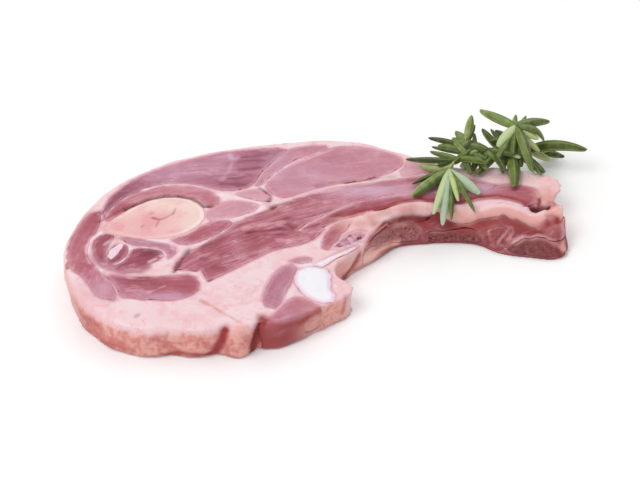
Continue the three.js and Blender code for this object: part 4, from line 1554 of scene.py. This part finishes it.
# Each row: half the width, the rise, the amount, and then the points of the path.
LINES = (
    # The gap over the round bone, the cracks in the bone, and the open seams between muscles, dark red with
    # painted shade in the gaps.
    *marks(Tint.GASH, 0.15,
           (1.1, -0.7, 0.8, (-90, 8.5), (-85, 12.2), (-80, 15.6), (-74, 17.8), (-67.8, 18), (-62, 16.4),
            (-58.4, 13.6), (-56, 10.5), (-53, 10.6))),
    *marks(Tint.RAW, 0.4,
           (0.8, -0.3, 0.6, (-101, -1), (-98, 1.5), (-94, 4.6), (-90, 8)),
           (0.7, -0.4, 0.5, (-38, 2), (-33.5, 4.6), (-29, 7.2), (-25, 10.5)),
           (0.6, -0.3, 0.5, (-5, -31.8), (-3, -30.6))),
    *marks(Tint.GASH, 0.3,
           (0.5, -0.2, 0.7, (-77.5, 1.6), (-74.4, 0.2), (-71.6, 1.8), (-69, 4.8), (-68.2, 8)),
           (0.4, 0, 0.4, (-74.4, 0.2), (-75.6, -4.6))),
    *marks(Tint.GASH, 0.4,
           (0.7, -0.2, 0.45, (-81.6, -5), (-81.2, -3.8)),
           (0.5, 0, 0.3, (-78.6, 4.6), (-77.6, 5)),
           (1.2, -0.7, 0.25, (-7, 25.6), (0.5, 28.2), (7.1, 29.3), (15.9, 30.9), (27, 33.1)),
           (0.8, -0.7, 0.6, (-32.4, 24), (-30, 21.6), (-27.6, 18.5), (-28, 14.8)),
           (0.8, -0.6, 0.75, (-27, 9.5), (-23.5, 11.8), (-20, 13.6), (-18.5, 14)),
           (0.7, -0.5, 0.6, (-17.5, 15.2), (-14.5, 16.6)),
           (1, -1, 0.8, (-60.6, -19.5), (-62.6, -24.5), (-64.6, -30), (-66, -34.5)),
           (0.7, -0.5, 0.6, (-50.3, -39.6), (-51.6, -40.4)),
           (0.7, -0.5, 0.4, (-60, -33), (-57, -33.8))),
    *marks(Tint.STREAK, 0.4,
           (0.6, 0.2, 0.6, (-35, 11.5), (-31, 10), (-27, 12.4)),
           (0.6, 0.1, 0.5, (-33, 7.4), (-28.5, 9), (-25, 13.4))),
    # Dark and light bands along the fibres of the long middle muscle.
    *marks(Tint.TONE, 0.4,
           (1, -0.5, -0.6, (-37, -8.2), (-31, -6.8), (-25, -5.7), (-18, -5)),
           (0.8, -0.4, -0.5, (-29, -10.4), (-20, -9.8)),
           (1.3, -0.5, -0.6, (-20, -2.4), (-14, -4.2), (-7, -2.6), (0, 0.5)),
           (1, 0, -0.4, (-55, -26.5), (-48, -25), (-42, -22.5)),
           (1, 0, -0.35, (-50, -31.5), (-44, -29.5), (-37, -24.5)),
           (0.8, 0.15, 0.6, (-38.5, -5.8), (-33, -4), (-27, -2), (-21, -0.8)),
           (0.9, 0.1, 0.5, (-24, -13.6), (-18, -14), (-11, -11.5)),
           (0.9, 0.1, 0.5, (-12, 1.4), (-4, 5.6), (4, 9.4)),
           (1.3, -0.3, -0.7, (0, 5), (8, 7.2), (16, 8.2), (22, 9.4), (27, 12.2), (32, 14.6))),
    # Open seams along the fibres: dark red, with painted shade in the grooves.
    *marks(Tint.GASH, 0.4,
           (0.9, -0.4, 0.35, (-21, 1.4), (-15, 1.2), (-8, 4.6), (-1, 8)),
           (1.1, -0.5, 0.35, (-1.8, 3.7), (4.6, 7.2), (11.1, 10.1), (19.8, 13), (28.6, 16))),
    # Dark and light bands in the back muscles.
    *marks(Tint.TONE, 0.4,
           (1.4, 0, -0.55, (-40.5, 47.6), (-34, 49), (-27, 49.6)),
           (1.1, 0, -0.5, (-42, 43.2), (-36, 44.4), (-31, 45)),
           (1, 0, -0.5, (-42, 37.6), (-37, 38), (-33, 39.2)),
           (0.9, 0, -0.4, (-46, 31), (-41, 31.4), (-37, 32.6)),
           (1.3, 0, -0.55, (-49, 26.6), (-43, 26), (-38.5, 26))),
    # Painted sheen: lilac reflection painted along the back muscle.
    *marks(Tint.SHEEN, 0.4,
           (0.9, 0, 0.6, (-46.5, 50), (-44.4, 45), (-42.6, 48)),
           (1, 0, 0.5, (-47.5, 49.4), (-45.4, 43.1), (-46.4, 36.2), (-49.3, 30.1))),
    *marks(Tint.STREAK, 0.4, (1, 0.1, 0.35, (-66, 34.6), (-60, 34.9), (-54, 33.8))),
    # Meat where the frame leaves fat: round the shank's muscles, along the back and behind the ribs.
    *marks(Tint.LEAN, 0.4,
           (1.3, 0, 0.95, (-104.5, -10), (-105.6, -16), (-105.4, -22), (-103.4, -28), (-100, -34),
            (-96, -40)),
           (1.2, 0, 0.9, (-103, -1), (-103, -7)),
           (1.3, 0, 0.9, (-110.5, -18), (-110, -10), (-107.4, -2), (-104, 5)),
           (1.7, 0, 1, (-97.5, -12.5), (-99, -19), (-98.8, -26), (-95.5, -31)),
           (1.6, 0, 1, (-95, -14.5), (-96, -20), (-94.8, -26), (-91.5, -30.5)),
           (1.5, 0, 1, (-90.5, -30.8), (-86.5, -29.6), (-83.5, -25), (-83.5, -20.5)),
           (1.6, 0, 1, (-92.5, -33), (-86, -35.2), (-80, -34.6), (-76.6, -31.6)),
           (1.3, 0, 1, (-93, -38.4), (-86, -39.4), (-78, -39.2), (-70, -38.6), (-64, -37.6)),
           (2, 0, 1, (-96.5, -37), (-93.2, -43), (-91.2, -48), (-89.4, -51.4)),
           (1.6, 0, 0.8, (-62.5, -40), (-59, -42), (-60, -45.5)),
           (1.2, 0, 0.85, (-95, -12), (-90, -11.8), (-84, -13.2), (-78, -15.2), (-72, -16.8),
            (-69.4, -20)),
           (0.9, 0, 0.8, (-82, -19.6), (-76, -19.6), (-72.4, -21.6)),
           (1, 0, 0.85, (-99.4, 6), (-95.4, 13), (-90, 19.2), (-85, 21.6)),
           (1.2, 0, 0.8, (-45, -3.2), (-40, -1.2), (-35.4, 1.8), (-31.6, 4.8)),
           (1, 0, 0.8, (-18.4, -26.4), (-13, -26.2), (-8, -26.8)),
           (1.6, 0, 1, (4, 4.4), (10, 7), (17, 8.8), (23, 11), (29, 14.2), (37, 15.6), (46, 14.4),
            (55, 13.4)),
           (3.4, 0, 1, (56, 16), (63, 18.6), (71, 20), (79, 19.4), (86, 18)),
           (2.2, 0, 1, (64, 25.2), (72, 25.4), (80, 24.4), (87, 22.4))),
    *marks(Tint.TONE, 0.4,
           (1.1, 0, -0.4, (-93, -38.4), (-86, -39.4), (-78, -39.2), (-70, -38.6)),
           (1.2, 0, 0.25, (-45, -3.2), (-40, -1.2), (-35.4, 1.8))),
    *marks(Tint.RAW, 0.4,
           (1.4, -0.6, 0.9, (4, 4.4), (10, 7), (17, 8.8), (23, 11), (29, 14.2), (37, 15.6), (46, 14.4),
            (55, 13.4), (62, 15.8), (70, 16.8), (78, 15), (84, 12.6))),
    # Bright sheaths round the shank's muscles and along the seams.
    *marks(Tint.STREAK, 0.4,
           (0.8, 0.2, 0.85, (-99, -8.4), (-102, -11.6), (-103.6, -16), (-103.2, -21)),
           (0.6, 0, 0.35, (-103, -22), (-101.4, -28)),
           (1, 0.2, 0.8, (-98.2, -31.2), (-96.4, -33.2)),
           (0.6, 0, 0.5, (-96, -34), (-94.6, -37), (-93, -40)),
           (0.6, 0, 0.55, (-96.2, -16), (-94.2, -13.2), (-90.6, -11.2)),
           (0.5, 0.1, 0.65, (-89.2, -15), (-86.2, -17), (-84.7, -20.5), (-85.6, -24.5), (-88.5, -28),
            (-91.6, -29.6)),
           (0.6, 0.1, 0.55, (-84.5, -19), (-80, -18.2), (-75, -18.6), (-71.6, -20.4), (-70, -23)),
           (0.9, 0, 0.6, (-78, -12.8), (-72, -14.4), (-68.6, -16.4), (-67, -20)),
           (0.8, 0, 0.8, (-76.6, -28.2), (-74, -26.2)),
           (0.7, 0, 0.7, (-72, -24.6), (-70.4, -23.4)),
           (0.5, 0, 0.45, (-75.5, -47.6), (-72, -46), (-69, -43.8)),
           (0.5, 0, 0.25, (-84, -47), (-78, -46.3)),
           (0.7, 0, 0.4, (-83, 22.6), (-78, 25), (-71, 26.5), (-64, 26.4), (-58, 25.2)),
           (1.1, 0, 0.45, (-52, 19), (-47, 18.4), (-42, 16.2), (-36, 14.6), (-32.4, 13), (-30.6, 9.6)),
           (1.1, 0, 0.5, (-50, 1), (-44, 2), (-40, 2.6), (-36, 5.2), (-31.6, 8.6)),
           (0.7, 0, 0.5, (-31.4, 25), (-30, 29), (-26.5, 34), (-21, 40), (-14, 45), (-7, 49.4), (0, 54)),
           (0.8, 0, 0.45, (-62, -17.5), (-56, -15.8), (-51, -11.4), (-46.6, -7.4)),
           (0.9, 0, 0.3, (-15, 17.4), (-8, 20.2), (0, 23), (8, 25))),
    *marks(Tint.PEACH, 0.4, (1.1, 0, 0.4, (-83.5, -38), (-77, -36.8), (-71.5, -34.2), (-68, -30))),
    *marks(Tint.STREAK, 0.2,
           (2.6, 0.5, 1.5, (-11.6, -28.4, 15.6), (-6, -26.8, 15.6), (0, -22.8, 15.6), (5, -20.2, 15.6),
            (9.4, -18.4, 15.6))),
    # The thin vein in the fat pad, and its faint folds.
    *marks(Tint.PEACH, 0.5,
           (0.7, -0.4, 0.8, (-54, -52.6), (-48.6, -56.8), (-43, -61.2), (-38, -65), (-34.6, -67.4))),
    *marks(Tint.RAW, 0.3, (0.5, 0, 0.3, (-54, -52.6), (-48.6, -56.8), (-43, -61.2), (-38, -65))),
    *marks(Tint.BLUSH, 0.4,
           (0.8, -0.25, 0.6, (-45, -56.5), (-37, -54.5), (-30, -51)),
           (0.8, 0, 0.9, (-95, -55.8), (-91.4, -55.2)),
           (0.9, -0.3, 0.9, (-2.4, -33), (-2.4, -40), (-0.6, -46), (2, -50.4))),
    *marks(Tint.GASH, 0.4, (0.6, 0, 0.35, (-79, -62), (-78.4, -61.4))),
    # The rim's front: two notches with a lump between them, thin veins, and a fold at the foot.
    *marks(Tint.RAW, 0.2,
           (2, -1.1, 1.2, (-43.6, -68.4, 12.6), (-44.8, -68.8, 7.9), (-47.4, -69.4, 3.2), (-49, -70, 0.5)),
           (2.2, -1.3, 1.2, (-28.8, -63, 14.2), (-30.2, -65.7, 10.5), (-32.3, -67.4, 3.5),
            (-32.8, -67.8, 0.5))),
    # Painted shade deep inside the right notch.
    *marks(Tint.GASH, 0.2, (1.3, 0, 0.6, (-30.2, -65.7, 9.5), (-32.3, -67.4, 3.5), (-32.8, -67.8, 0.5))),
    *marks(Tint.PEACH, 0.15,
           (3.2, 0.4, 1.2, (-37.6, -69.2, 12.4), (-38.4, -70.2, 9.2), (-39, -70.4, 4.1),
            (-39, -70.4, 0.5))),
    *marks(Tint.RAW, 0.15,
           (0.9, -0.1, 0.35, (-105.6, -44, 6.8), (-101.2, -53.5, 7.4), (-96.5, -59.2, 9.1),
            (-93.4, -62, 8.8)),
           (0.6, -0.2, 0.45, (-77.1, -70, 10), (-78.1, -70.4, 6.1), (-77, -70.8, 3.4)),
           (0.6, -0.2, 0.4, (-73.1, -70, 10), (-65.4, -69.8, 7.7), (-59.4, -70.3, 7.2)),
           (0.8, -0.2, 0.4, (-93, -62.7, 2.7), (-86.5, -67.3, 3.5), (-79.5, -70.3, 2.9)),
           (1.4, -0.5, 0.8, (-67.7, -69.8, 0.9), (-62.5, -70.2, 2.6), (-56.9, -70.9, 2.4),
            (-50.6, -70.2, 1.7)),
           (1.4, 0, 0.75, (-29, -64.3, 13), (-21.9, -64.5, 11.2), (-14, -59.9, 9.9), (-6.9, -54.1, 10.4)),
           (3, -0.3, 0.6, (-28.5, -66.6, 5), (-24, -66, 5.4), (-19, -64.5, 5.8)),
           (1.1, -0.3, 0.45, (4.2, -46.2, 10.4), (3.4, -47.2, 7.5), (2.5, -48, 4.8))),
    *marks(Tint.STREAK, 0.15,
           (0.6, 0, 0.35, (-23.9, -65.4, 7.6), (-17.2, -62.2, 7.3)),
           (0.6, 0.2, 0.7, (-22, -65.2, 9), (-20, -64.4, 9.4)),
           (0.5, 0.2, 0.4, (-27, -66.2, 7.6), (-24, -66, 8.2))),
    # The neck's wall.
    *marks(Tint.RAW, 0.15,
           (1.6, -0.4, 0.9, (10.4, -15, 8), (9.1, -16.2, 5.8), (7.4, -17.6, 3.6), (5.7, -19.3, 2.2),
            (4.2, -20.8, 0.8)),
           (1.2, 0, 0.45, (8.6, -16.6, 1.6), (12.6, -12.8, 1.6), (17, -8.6, 1.4))),
    # The wavy ribbon of fat along the ribs, and the shade under it.
    *marks(Tint.PEACH, 0.3,
           (2, 0.7, 0.75, (15.3, 2.3, 14.9), (21.8, 5.4, 15), (28.3, 8.2, 15.2), (37, 9.5, 15),
            (45.7, 9.8, 14), (52.2, 8.7, 11.4), (58.7, 7.8, 10.6), (62.9, 8.6, 12.9), (67.1, 8.9, 14.8),
            (75.7, 8.6, 14.8), (80, 7.8, 13.3), (84.3, 6.4, 11.5), (88.5, 5.2, 11.2), (91.9, 6.8, 13.7),
            (95.2, 8.4, 15.5))),
    # Painted shade under the ribbon: the red meat there deepened to a dark red band.
    *marks(Tint.RAW, 0.2,
           (2, -0.8, 1, (17.4, -1.4, 12.4), (21.7, 1, 12.2), (27, 4.9, 11.6), (30.9, 6.2, 11.3),
            (37, 7.6, 10.2), (43.1, 8, 9.2), (48.3, 7.3, 7.8), (52.7, 6.5, 6), (58.7, 6.4, 6),
            (62.9, 6.6, 8.2), (68, 6.4, 9.6), (73.1, 5.8, 10), (77.8, 4.6, 8.8), (83.3, 2.8, 7.2),
            (88.4, 2.1, 7)),
           (1.2, 0, 0.4, (15.6, -6.4, 12.8), (19.4, -3.4, 13.2), (23.5, 0.6, 12.6))),
    # Painted shade under the ribbon: a broad band and a narrow darker core along it.
    *marks(Tint.GASH, 0.2,
           (1.6, 0, 0.65, (27, 5, 11.2), (30.9, 6.3, 10.8), (37, 7.6, 9.8), (41.5, 7.8, 8.8),
            (46, 6.8, 7.6), (50, 6.4, 6.8)),
           (0.9, -0.3, 0.45, (17.4, -1, 13.4), (21.7, 1.2, 13.4), (27, 4.9, 12.6), (30.9, 6.4, 12),
            (37, 7.8, 11.2), (43.1, 8.2, 10.4), (48.3, 7.3, 8.4), (52.7, 6.5, 6.6), (58.7, 6.6, 7.2),
            (62.9, 6.8, 9.2), (67.5, 6.8, 11.4), (72.5, 6.4, 11.8), (77.8, 5.6, 10.9), (82.1, 4.6, 9.6),
            (86.4, 3.4, 8.4))),
    *marks(Tint.PEACH, 0.2,
           (1.6, 0, 1.2, (64, 8.4, 12.6), (67.5, 8, 13.6), (72, 7.8, 14), (76, 7.2, 13.4), (80, 6.4, 12.2),
            (84.3, 5.2, 10.8), (88, 4.6, 10.8))),
    # Painted highlight along the ribbon's crest.
    *marks(Tint.STREAK, 0.2,
           (1, 0, 0.55, (62.9, 9, 14.2), (67.1, 9.6, 15.6), (75.7, 9.2, 15.6), (80, 8.4, 14.2),
            (84.3, 7.2, 12.6))),
    *marks(Tint.RAW, 0.15,
           (1.2, 0, 0.6, (91.5, 5.8, 12.6), (93.5, 5.4, 13.4), (95.5, 4.4, 13.4)),
           (1.4, 0, 0.7, (91, 3.2, 9.6), (93.6, 3.8, 11.4), (96.4, 3.2, 12.4))),
    *marks(Tint.LEAN, 0.15, (1.5, 0, 1, (89, 3.4, 9), (91, 3.8, 10), (93.2, 4.2, 11.4), (96, 3.6, 12.2))),
    *marks(Tint.STREAK, 0.15,
           (1.3, 0, 0.9, (98.1, -4.2, 2.7), (98.5, -2.5, 5.3), (98.7, 0.6, 8.4), (98.3, 2.4, 11))),
    *marks(Tint.RAW, 0.8,
           (2.2, 0, 0.25, (11, -2.5, 14.8), (15, 1, 15), (20, 4.5, 15.2), (26, 7, 15.2), (33, 8.6, 15))),
    *marks(Tint.PEACH, 0.1, (1.5, 0, 0.5, (15, -6.2, 13.4), (19, -3.8, 13.8), (23.5, 0.4, 13))),
    # Pale edges of the sawn ribs, and folds of the skin between them.
    *marks(Tint.STREAK, 0.15,
           (0.7, 0.1, 0.5, (7.5, -8.3, 13.1), (13.4, -6.6, 13.2), (19.5, -3.3, 12.4), (24.8, 1.8, 10.5),
            (30.5, 4.9, 9.5)),
           (0.7, 0.15, 0.3, (30.5, 4.8, 9.3), (34.5, 6.1, 9.4), (37.1, 5.3, 6.7), (38.9, 3.3, 2.3)),
           (0.7, 0.1, 0.45, (40.2, 5.1, 5), (48, 5.6, 5.4), (55.3, 6.1, 6.4), (60.9, 5.4, 6.4),
            (64.3, 3, 4.2)),
           (0.6, 0.15, 0.55, (66.3, 4, 7.2), (68.8, 4.3, 8.9), (72.2, 4.3, 9.4), (74.7, 3.1, 8.9),
            (73.9, 1.8, 7.3), (71.7, 0.5, 5.5), (70, -1.2, 3.1)),
           (0.6, 0.1, 0.35, (66.3, 4, 7.2), (67.2, 1.7, 4.7), (68.8, -1, 2.4), (70.9, -3, 1.2)),
           (0.6, 0.1, 0.5, (72.6, 4, 9.4), (76.5, 3.3, 9.3), (76.9, 1.6, 7.4), (74.3, -0.3, 5.1)),
           (1.2, 0, 0.7, (77.5, -1.3, 4.9), (79.8, -0.9, 5.2), (84.1, -0.2, 6), (88.3, -0.7, 6.1),
            (92.5, -2.2, 5.8), (98.1, -3.8, 3.2)),
           (0.8, 0, 0.5, (71, -3.4, 0.8), (79.7, -4.6, 0.8), (88.1, -6, 0.8), (95, -6.4, 0.8)),
           # Painted light: lifts the shaded peach strip below the first rib.
           (1, 0, 0.2, (17.4, -8, 5.6), (22.2, -2.8, 4.5), (24.9, -0.6, 3.6)),
           (0.5, 0, 0.5, (90, 0.8, 8), (92.5, -0.4, 7.4), (93.8, 0.9, 9.1))),
    *marks(Tint.RAW, 0.15, (0.7, 0.15, 0.5, (35.3, 6.9, 9.9), (38.8, 6.5, 8.6), (41.5, 5.3, 5.6))),
    *marks(Tint.PEACH, 0.15,
           (1.4, 0.1, 1, (15, -10.2, 6), (18.4, -7, 5.6), (22.2, -2.8, 4.5), (24.9, -0.6, 3.6),
            (27.4, 0.8, 3.2))),
    # The pit near the arm's end, darkened with painted shade.
    *marks(Tint.GASH, 0.1,
           (1.7, -1.8, 1.8, (86.2, 11.6, 12.2), (89, 12.8, 11.7), (92, 12, 12.5)),
           (1.3, -0.8, 1.4, (86, 11.4), (89, 12.2), (92, 12))),
    *marks(Tint.RAW, 0.2, (0.9, -0.8, 1, (88.8, 12, 11.7), (89.2, 18.3, 12.8))),
    *marks(Tint.RAW, 0.15, (1.2, 0, 0.5, (93, 15.5, 13.2), (94.6, 14.9, 13.6), (95.6, 11, 15))),
)

SPOTS = (
    # The membrane on the front and the lower left.
    *blots(Tint.MEMBRANE,
           (1.3, (-80, -72, 5), (30, 16, 11)), (1.35, (-45, -72, 5), (24, 12, 11)),
           (0.8, (0, -52, 6), (9, 9, 9))),
    *blots(Tint.RAW, (0.35, (-100, -54, 4), (8, 8, 5))),
    *blots(Tint.BLUSH, (0.7, (-99, -52, 12), (8, 12, 6)), (0.3, (-68, -62, 15), (16, 6, 5))),
    # The neck's wall, the left end of the ribbon and the arm's end.
    *blots(Tint.PEACH,
           (1.3, (2, -24, 5), (9, 7, 8)), (1.2, (13, -11, 4), (7, 6, 4)), (0.9, (-8, -57, 5), (7, 7, 6)),
           (0.7, (9, -1, 14), (9, 5, 6)), (1.0, (96, 8, 13), (4, 6, 5)), (1.0, (93, 19, 13), (5, 6, 6)),
           (0.4, (82, 31, 14), (18, 4, 8)), (0.6, (55, 9, 11), (5, 5, 5))),
    *blots(Tint.RAW,
           (0.12, (-103, -49, 8), (8, 9, 7)), (0.4, (-14, -60, 7), (8, 6, 5)),
           (0.2, (94, 18, 13), (3, 5, 4)), (0.4, (93, 1, 9), (4, 5, 5)), (0.3, (98, -1, 8), (3, 6, 7))),
    *blots(Tint.MEMBRANE,
           (-0.5, (4, -22, 6), (9, 8, 8)), (0.5, (-108, -34, 5), (8, 16, 8)),
           (0.7, (-100, -54, 5), (10, 10, 8))),
    *blots(Tint.BLUSH, (0.7, (98, 28, 12), (5, 6, 8))),
    # Darker and lighter parts of the muscles.
    *patches(Tint.TONE,
             (-97, 9, 7, 9, -0.6), (-90, 22, 9, 9, -0.55), (-60, -20, 12, 8, -0.2), (-36, 44, 9, 8, -0.3),
             (-43, 29, 8, 5, -0.35), (-94, -47, 7, 7, 0.5), (-77, -22, 5, 3, -0.5),
             (-82, -42, 9, 3, -0.35), (-2, 47, 10, 6, -0.35), (-4, 27, 14, 2.5, -0.3),
             (-50, -33, 7, 5, -0.3), (15, 22, 24, 5, 0.5), (-30, -12, 14, 5, -0.15), (70, 20, 14, 7, 0.1)),
    *patches(Tint.RAW,
             (-104, -3, 5, 8, 0.25), (-60, -44, 4, 6, 0.25), (78, 18, 12, 6, 0.3), (-28, 11, 3, 3, 0.3)),
    *patches(Tint.PEACH, (-28, 11, 4, 3, 0.35)),
    # Painted sheen: lilac reflections painted on the moist muscles.
    *patches(Tint.SHEEN,
             (-93, -46, 6, 7, 0.5), (-70, -50, 12, 2.5, 0.5), (-70, 33, 16, 7, 0.3), (-52, 42, 10, 8, 0.2),
             (-25, 42, 7, 10, 0.4), (-10, 33, 12, 8, 0.35), (15, 22, 24, 4.5, 0.7), (66, 22, 6, 5, 0.8),
             (-76, -14, 12, 3, 0.4), (-14, -60, 10, 6, 0.3)),
    *patches(Tint.BLUSH, (-76, -0.5, 11, 7, 0.72), (-95, -4, 14, 9, 0.6), (-76, -10, 15, 4, 0.5)),
)

# Fat lies over these nodes above these heights, where the marks are warm.
COVERED = {"muscle_rib": 6.5, "muscle_breast_corner": 0.0}

# Each leaf: its place on the shoot, heading, pitch, length, width, bow and tone.
SHOOTS = (
    Shoot(
        ((50.4, 30.5, 20.5), (53.9, 35.5, 22), (59.4, 39.5, 22.5), (65.9, 44.5, 21),
         (74.9, 50.5, 17.5), (87.4, 60, 10.5), (97.9, 66.5, 4.5), (104.9, 70, 1.4)),
        thickness=2.2,
        leaves=leaves(
            (0.08, 176, -2, 22, 3.3, 1, DEEP), (0.05, 176, -3, 15, 4.4, -2.5, YOUNG),
            (0.1, 160, 3, 13, 3.1, 1, GREEN), (0.12, -164, -12, 11, 3, 1, DEEP),
            (0.15, -72, -18, 11, 3, 1, DEEP), (0.17, 118, 6, 12, 3, 1, GREEN),
            (0.22, -58, -15, 12, 3.2, 1, GREEN), (0.28, -88, -20, 12, 3.2, 1, DEEP),
            (0.3, 148, 8, 15, 3.6, 1, GREEN), (0.33, -20, 2, 13, 3.2, 1.5, OLIVE),
            (0.38, -74, -5, 16, 3.4, 1.5, DEEP), (0.4, 22, 5, 15, 3, 1, DEEP),
            (0.42, -38, 4, 13, 3.2, 1, PALE), (0.45, -152, 0, 14, 3.4, 1, GREEN),
            (0.5, -100, 0, 19, 3.6, 1.5, DEEP), (0.52, 66, 8, 12, 3, 1, DEEP),
            (0, -160, -9, 18, 2.6, 1, DEEP), (0, -136, -6, 24, 5, 1.5, GREEN),
            (0, -105, -5, 31, 3.6, 1.5, PALE), (0, -100, -12, 33, 4.1, 2.5, BLUISH),
            (0, -81, -6, 21, 3, 1.5, YOUNG), (0, -88, -11, 30, 2.7, 1.5, OLIVE),
            (0, -69, -5, 30, 2.4, 1.5, OLIVE), (0, -50, -7, 20, 5, 1.5, BLUISH),
            (0, -69, -8, 15, 2.9, 1, YOUNG), (0.25, 143, 0, 24, 3.3, 1, DEEP),
            (0.25, 158, -4, 18, 5, 1, GREEN), (0.35, 164, 10, 17, 4.9, 1.5, GREEN),
            (0.2, 157, -10, 19, 2.3, 0.5, DEEP), (0.25, -140, -18, 11, 3.9, 1, BLUISH),
            (0.2, -115, -28, 9, 3.3, 1, GREEN), (0.3, -116, -13, 14, 3.3, 1.5, DEEP),
            (0.45, -120, 0, 23, 4.4, 2, OLIVE), (0.35, -104, -11, 10, 3.7, 1.5, DEEP),
            (0.3, -33, -18, 8, 4, 1.5, GREEN), (0.1, -14, 4, 13, 3.6, 2, OLIVE),
            (0.06, 40, 8, 11, 3.6, 1.5, OLIVE), (0.2, -11, -25, 8, 3.3, 1, GREEN),
            (0.45, 125, 14, 14, 3.6, 1, DEEP), (0.5, 118, 16, 13, 2.5, 1, DEEP),
            (0.55, -89, 4, 33, 5.8, 3, OLIVE), (0.65, -119, 13, 24, 4.2, 2, GREEN),
            (0.6, -86, 10, 19, 3.5, 2, DEEP), (0.7, -11, 8, 28, 5.8, 6, OLIVE),
            (0.8, 6, -13, 14, 4, 1.5, OLIVE), (0.75, -23, -16, 10, 3.9, 1, YOUNG),
            (0.75, -10, 16, 12, 4, 1.5, YOUNG), (0.55, -52, 3, 24, 4.4, 2, DEEP),
            (0.6, -70, 6, 26, 3.3, 2, DEEP), (0.7, -88, 13, 22, 3.5, 1.5, GREEN),
        ),
    ),
    Shoot(
        ((77.9, 52, 16), (78.9, 52, 21), (80.4, 53, 25), (81.4, 54, 27.5)),
        thickness=1.8,
        leaves=leaves(
            (1, 145, 5, 19, 5, 1.5, GREEN), (1, 23, -2, 17, 4.9, 2.5, GREEN),
            (1, -6, -26, 15, 3.4, 5, GREEN), (1, -132, -19, 14, 5, 2, PALE),
            (0.9, -117, -27, 19, 4.2, 2.5, GREEN), (0.95, -100, -24, 14, 5, 1.5, DEEP),
            (1, -76, -30, 11, 2.9, 1.5, PALE), (1, -73, -27, 24, 4.8, 4, GREEN),
            (0.95, -75, -33, 17, 4.3, 3, DEEP), (1, -22, -21, 12, 3.8, 1, YOUNG),
            (0.8, -19, -30, 15, 3.9, 1.5, YOUNG), (0.5, 151, 14, 8, 3.2, 1, DEEP),
            (0.85, 83, 12, 10, 2.8, 0, GREEN), (0.7, 55, 18, 12, 2.4, 0, GREEN),
            (0.55, -176, -14, 10, 3.3, 1, DEEP),
        ),
    ),
    Shoot(
        ((63.4, 43, 21), (60.4, 45, 23.5), (59.4, 47, 26)),
        thickness=1.6,
        leaves=leaves(
            (0.9, 81, 14, 15, 4.2, 0.5, GREEN), (0.4, 120, 11, 12, 4.6, 1, GREEN),
            (0.9, 62, 17, 9, 2.4, 0, DEEP), (0.2, 78, 20, 9, 2.3, 0.5, DEEP),
            (0.55, 158, 4, 8, 4.3, 1, GREEN), (0.55, -17, -6, 8, 4.3, 1.5, GREEN),
            (0.75, -144, -14, 4, 4, 1, GREEN),
        ),
    ),
)


def main() -> None:
    """Builds the chop, the sprig and the studio."""
    logging.basicConfig(level=logging.INFO, format="%(name)s: %(message)s")
    Studio().build()
    chop = Chop(LINES, SPOTS, COVERED)
    FatBody().build(chop)
    for plug in PLUGS:
        plug.build(chop)
    Sprig(SHOOTS).build(chop)


if __name__ == "__main__":
    main()
